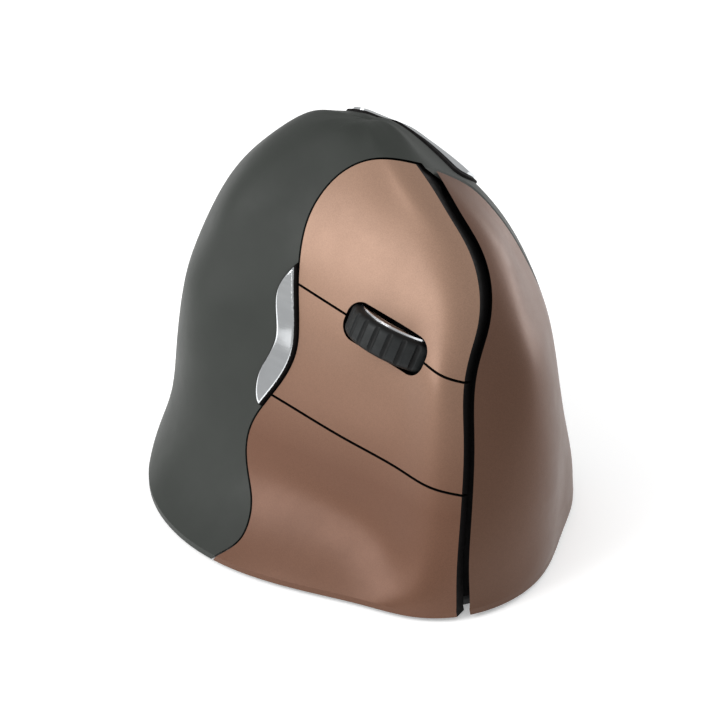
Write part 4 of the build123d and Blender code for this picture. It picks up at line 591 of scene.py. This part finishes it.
# %% Wrap of the cell
band_start = 8.5 * mm
band_full = 9.0 * mm
wrap, tree, shader, place = new_finish("battery_wrap")
along = tree.nodes.new("ShaderNodeSeparateXYZ")
tree.links.new(place, along.inputs["Vector"])
band = spread(tree, along.outputs["Y"], low=0, high=1, start=band_start, end=band_full)
grey_wrap = mottled(tree, place, scale=500, detail=2,
                    first=(0.16, 0.20, 0.19), second=(0.20, 0.24, 0.23))
pale_end = mottled(tree, place, scale=500, detail=2,
                   first=(0.52, 0.53, 0.52), second=(0.58, 0.59, 0.58))
tree.links.new(blend(tree, band, grey_wrap, pale_end), shader.inputs["Base Color"])
wear(tree, shader, place, scale=900, detail=2, smooth=0.25, dull=0.33)
shader.inputs["Metallic"].default_value = 0.4
give(wrap, "battery")

# %% [markdown]
# ## Floor
#
# A product photo is taken on a sheet of white paper. A curved backdrop would do too, but with
# a white world behind it a flat sheet shows no horizon either. It lies a hair under the glide
# feet, so that it never flickers through them.

# %% Sheet under the mouse
floor_half = 3.0
floor_level = -0.05 * mm
corners = [(-floor_half, -floor_half, floor_level), (floor_half, -floor_half, floor_level),
           (floor_half, floor_half, floor_level), (-floor_half, floor_half, floor_level)]
floor_mesh = bpy.data.meshes.new("floor")
floor_mesh.from_pydata(corners, [], [(0, 1, 2, 3)])
floor = bpy.data.objects.new("floor", floor_mesh)
scene.collection.objects.link(floor)
print("floor", 2 * floor_half, "m wide")

# %% [markdown]
# The paper glows a little, which keeps it white and leaves the mouse its soft shadow. Its
# lower side is clear, so that the underside of the mouse can be looked at through it: the
# Backfacing output of the geometry node tells the two sides apart.

# %% White paper, clear from below
paper, tree, shader, place = new_finish("floor_paper")
white = mottled(tree, place, scale=30, detail=2,
                first=(0.90, 0.90, 0.90), second=(0.92, 0.92, 0.92))
tree.links.new(white, shader.inputs["Base Color"])
wear(tree, shader, place, scale=200, detail=2, smooth=0.8, dull=0.9)
shader.inputs["Emission Color"].default_value = (1, 1, 1, 1)
shader.inputs["Emission Strength"].default_value = 0.3
shader.inputs["Specular IOR Level"].default_value = 0.1
side = tree.nodes.new("ShaderNodeNewGeometry")
open_side = tree.nodes.new("ShaderNodeBsdfTransparent")
one_way = tree.nodes.new("ShaderNodeMixShader")
tree.links.new(side.outputs["Backfacing"], one_way.inputs["Fac"])
tree.links.new(shader.outputs["BSDF"], one_way.inputs[1])
tree.links.new(open_side.outputs["BSDF"], one_way.inputs[2])
tree.links.new(one_way.outputs["Shader"], tree.nodes["Material Output"].inputs["Surface"])
give(paper, "floor")

# %% [markdown]
# ## Light
#
# Most of the light comes evenly from all round. A soft key light near the palm side brightens
# the copper face, and a weak one on the thumb side gives the nose panel its pale edge. Point
# lamps would leave hard spots on the lacquer, so both are square panels. A turn of 0 degrees
# is at the back of the mouse, 90 at the fingers, 180 before the nose and 270 at the thumb.

# %% Turn and rise of a lamp or a camera
def outward(turn, rise):
    """The direction from the mouse to something round it."""
    turn = math.radians(turn)
    rise = math.radians(rise)
    return Vector((math.sin(turn) * math.cos(rise), -math.cos(turn) * math.cos(rise),
                   math.sin(rise)))


# %% [markdown]
# A panel shines along its own -Z, so its Z axis is turned to point away from the mouse.

# %% Soft panels
lamp_aim = Vector((2 * mm, 1 * mm, 40 * mm))


def soft_light(name, turn, rise, distance, width, power):
    """A square area light that faces the mouse."""
    data = bpy.data.lights.new(name, "AREA")
    data.shape = "SQUARE"
    data.size = width
    data.energy = power
    lamp = bpy.data.objects.new(name, data)
    lamp.location = lamp_aim + outward(turn, rise) * distance
    lamp.rotation_euler = outward(turn, rise).to_track_quat("Z", "Y").to_euler()
    scene.collection.objects.link(lamp)
    print(name, power, "W at", distance, "m")


soft_light("key_light", turn=55, rise=35, distance=0.6, width=0.4, power=2.6)
soft_light("rim_light", turn=250, rise=12, distance=0.9, width=0.5, power=4.0)

# %% [markdown]
# The even light is a white world. The camera sees it as pure white, matt faces are lit by a
# little less, and shiny ones mirror a darker white, so that it doesn't wash out the dark
# shell. A picture of a studio could do all that, but the Light Path node does it with three
# plain whites: it tells which kind of ray is asking.

# %% White world
world = bpy.data.worlds.new("studio")
scene.world = world
world.use_nodes = True
sky = world.node_tree
sky.nodes.clear()


def plain_white(strength):
    """A white background of one strength."""
    background = sky.nodes.new("ShaderNodeBackground")
    background.inputs["Color"].default_value = (1, 1, 1, 1)
    background.inputs["Strength"].default_value = strength
    return background.outputs["Background"]


def either(kind_of_ray, others, chosen):
    """One background for a kind of ray, another for all others."""
    choice = sky.nodes.new("ShaderNodeMixShader")
    sky.links.new(ray.outputs[kind_of_ray], choice.inputs["Fac"])
    sky.links.new(others, choice.inputs[1])
    sky.links.new(chosen, choice.inputs[2])
    return choice.outputs["Shader"]


ray = sky.nodes.new("ShaderNodeLightPath")
lighting = either("Is Glossy Ray", plain_white(0.75), plain_white(0.5))
backdrop = either("Is Camera Ray", lighting, plain_white(1.0))
world_out = sky.nodes.new("ShaderNodeOutputWorld")
sky.links.new(backdrop, world_out.inputs["Surface"])
print("world:", len(sky.nodes), "nodes")

# %% [markdown]
# ## Camera
#
# The camera looks down on the finger side. A wide lens close by would swell the nearest
# button, so a long lens stands further off and keeps the outline nearly free of perspective.
# It looks at a point low inside the body. The Standard view keeps colours as they are written.

# %% Camera
look_at = Vector((2.35 * mm, 1.0 * mm, 35.3 * mm))
camera_side = outward(turn=125, rise=32)
camera_distance = 0.6
camera_data = bpy.data.cameras.new("camera")
camera_data.lens = 139.8
camera_data.sensor_width = 36
camera = bpy.data.objects.new("camera", camera_data)
camera.location = look_at + camera_side * camera_distance
camera.rotation_euler = camera_side.to_track_quat("Z", "Y").to_euler()
scene.collection.objects.link(camera)
scene.camera = camera
scene.view_settings.view_transform = "Standard"
print("camera at", [round(part, 3) for part in camera.location])
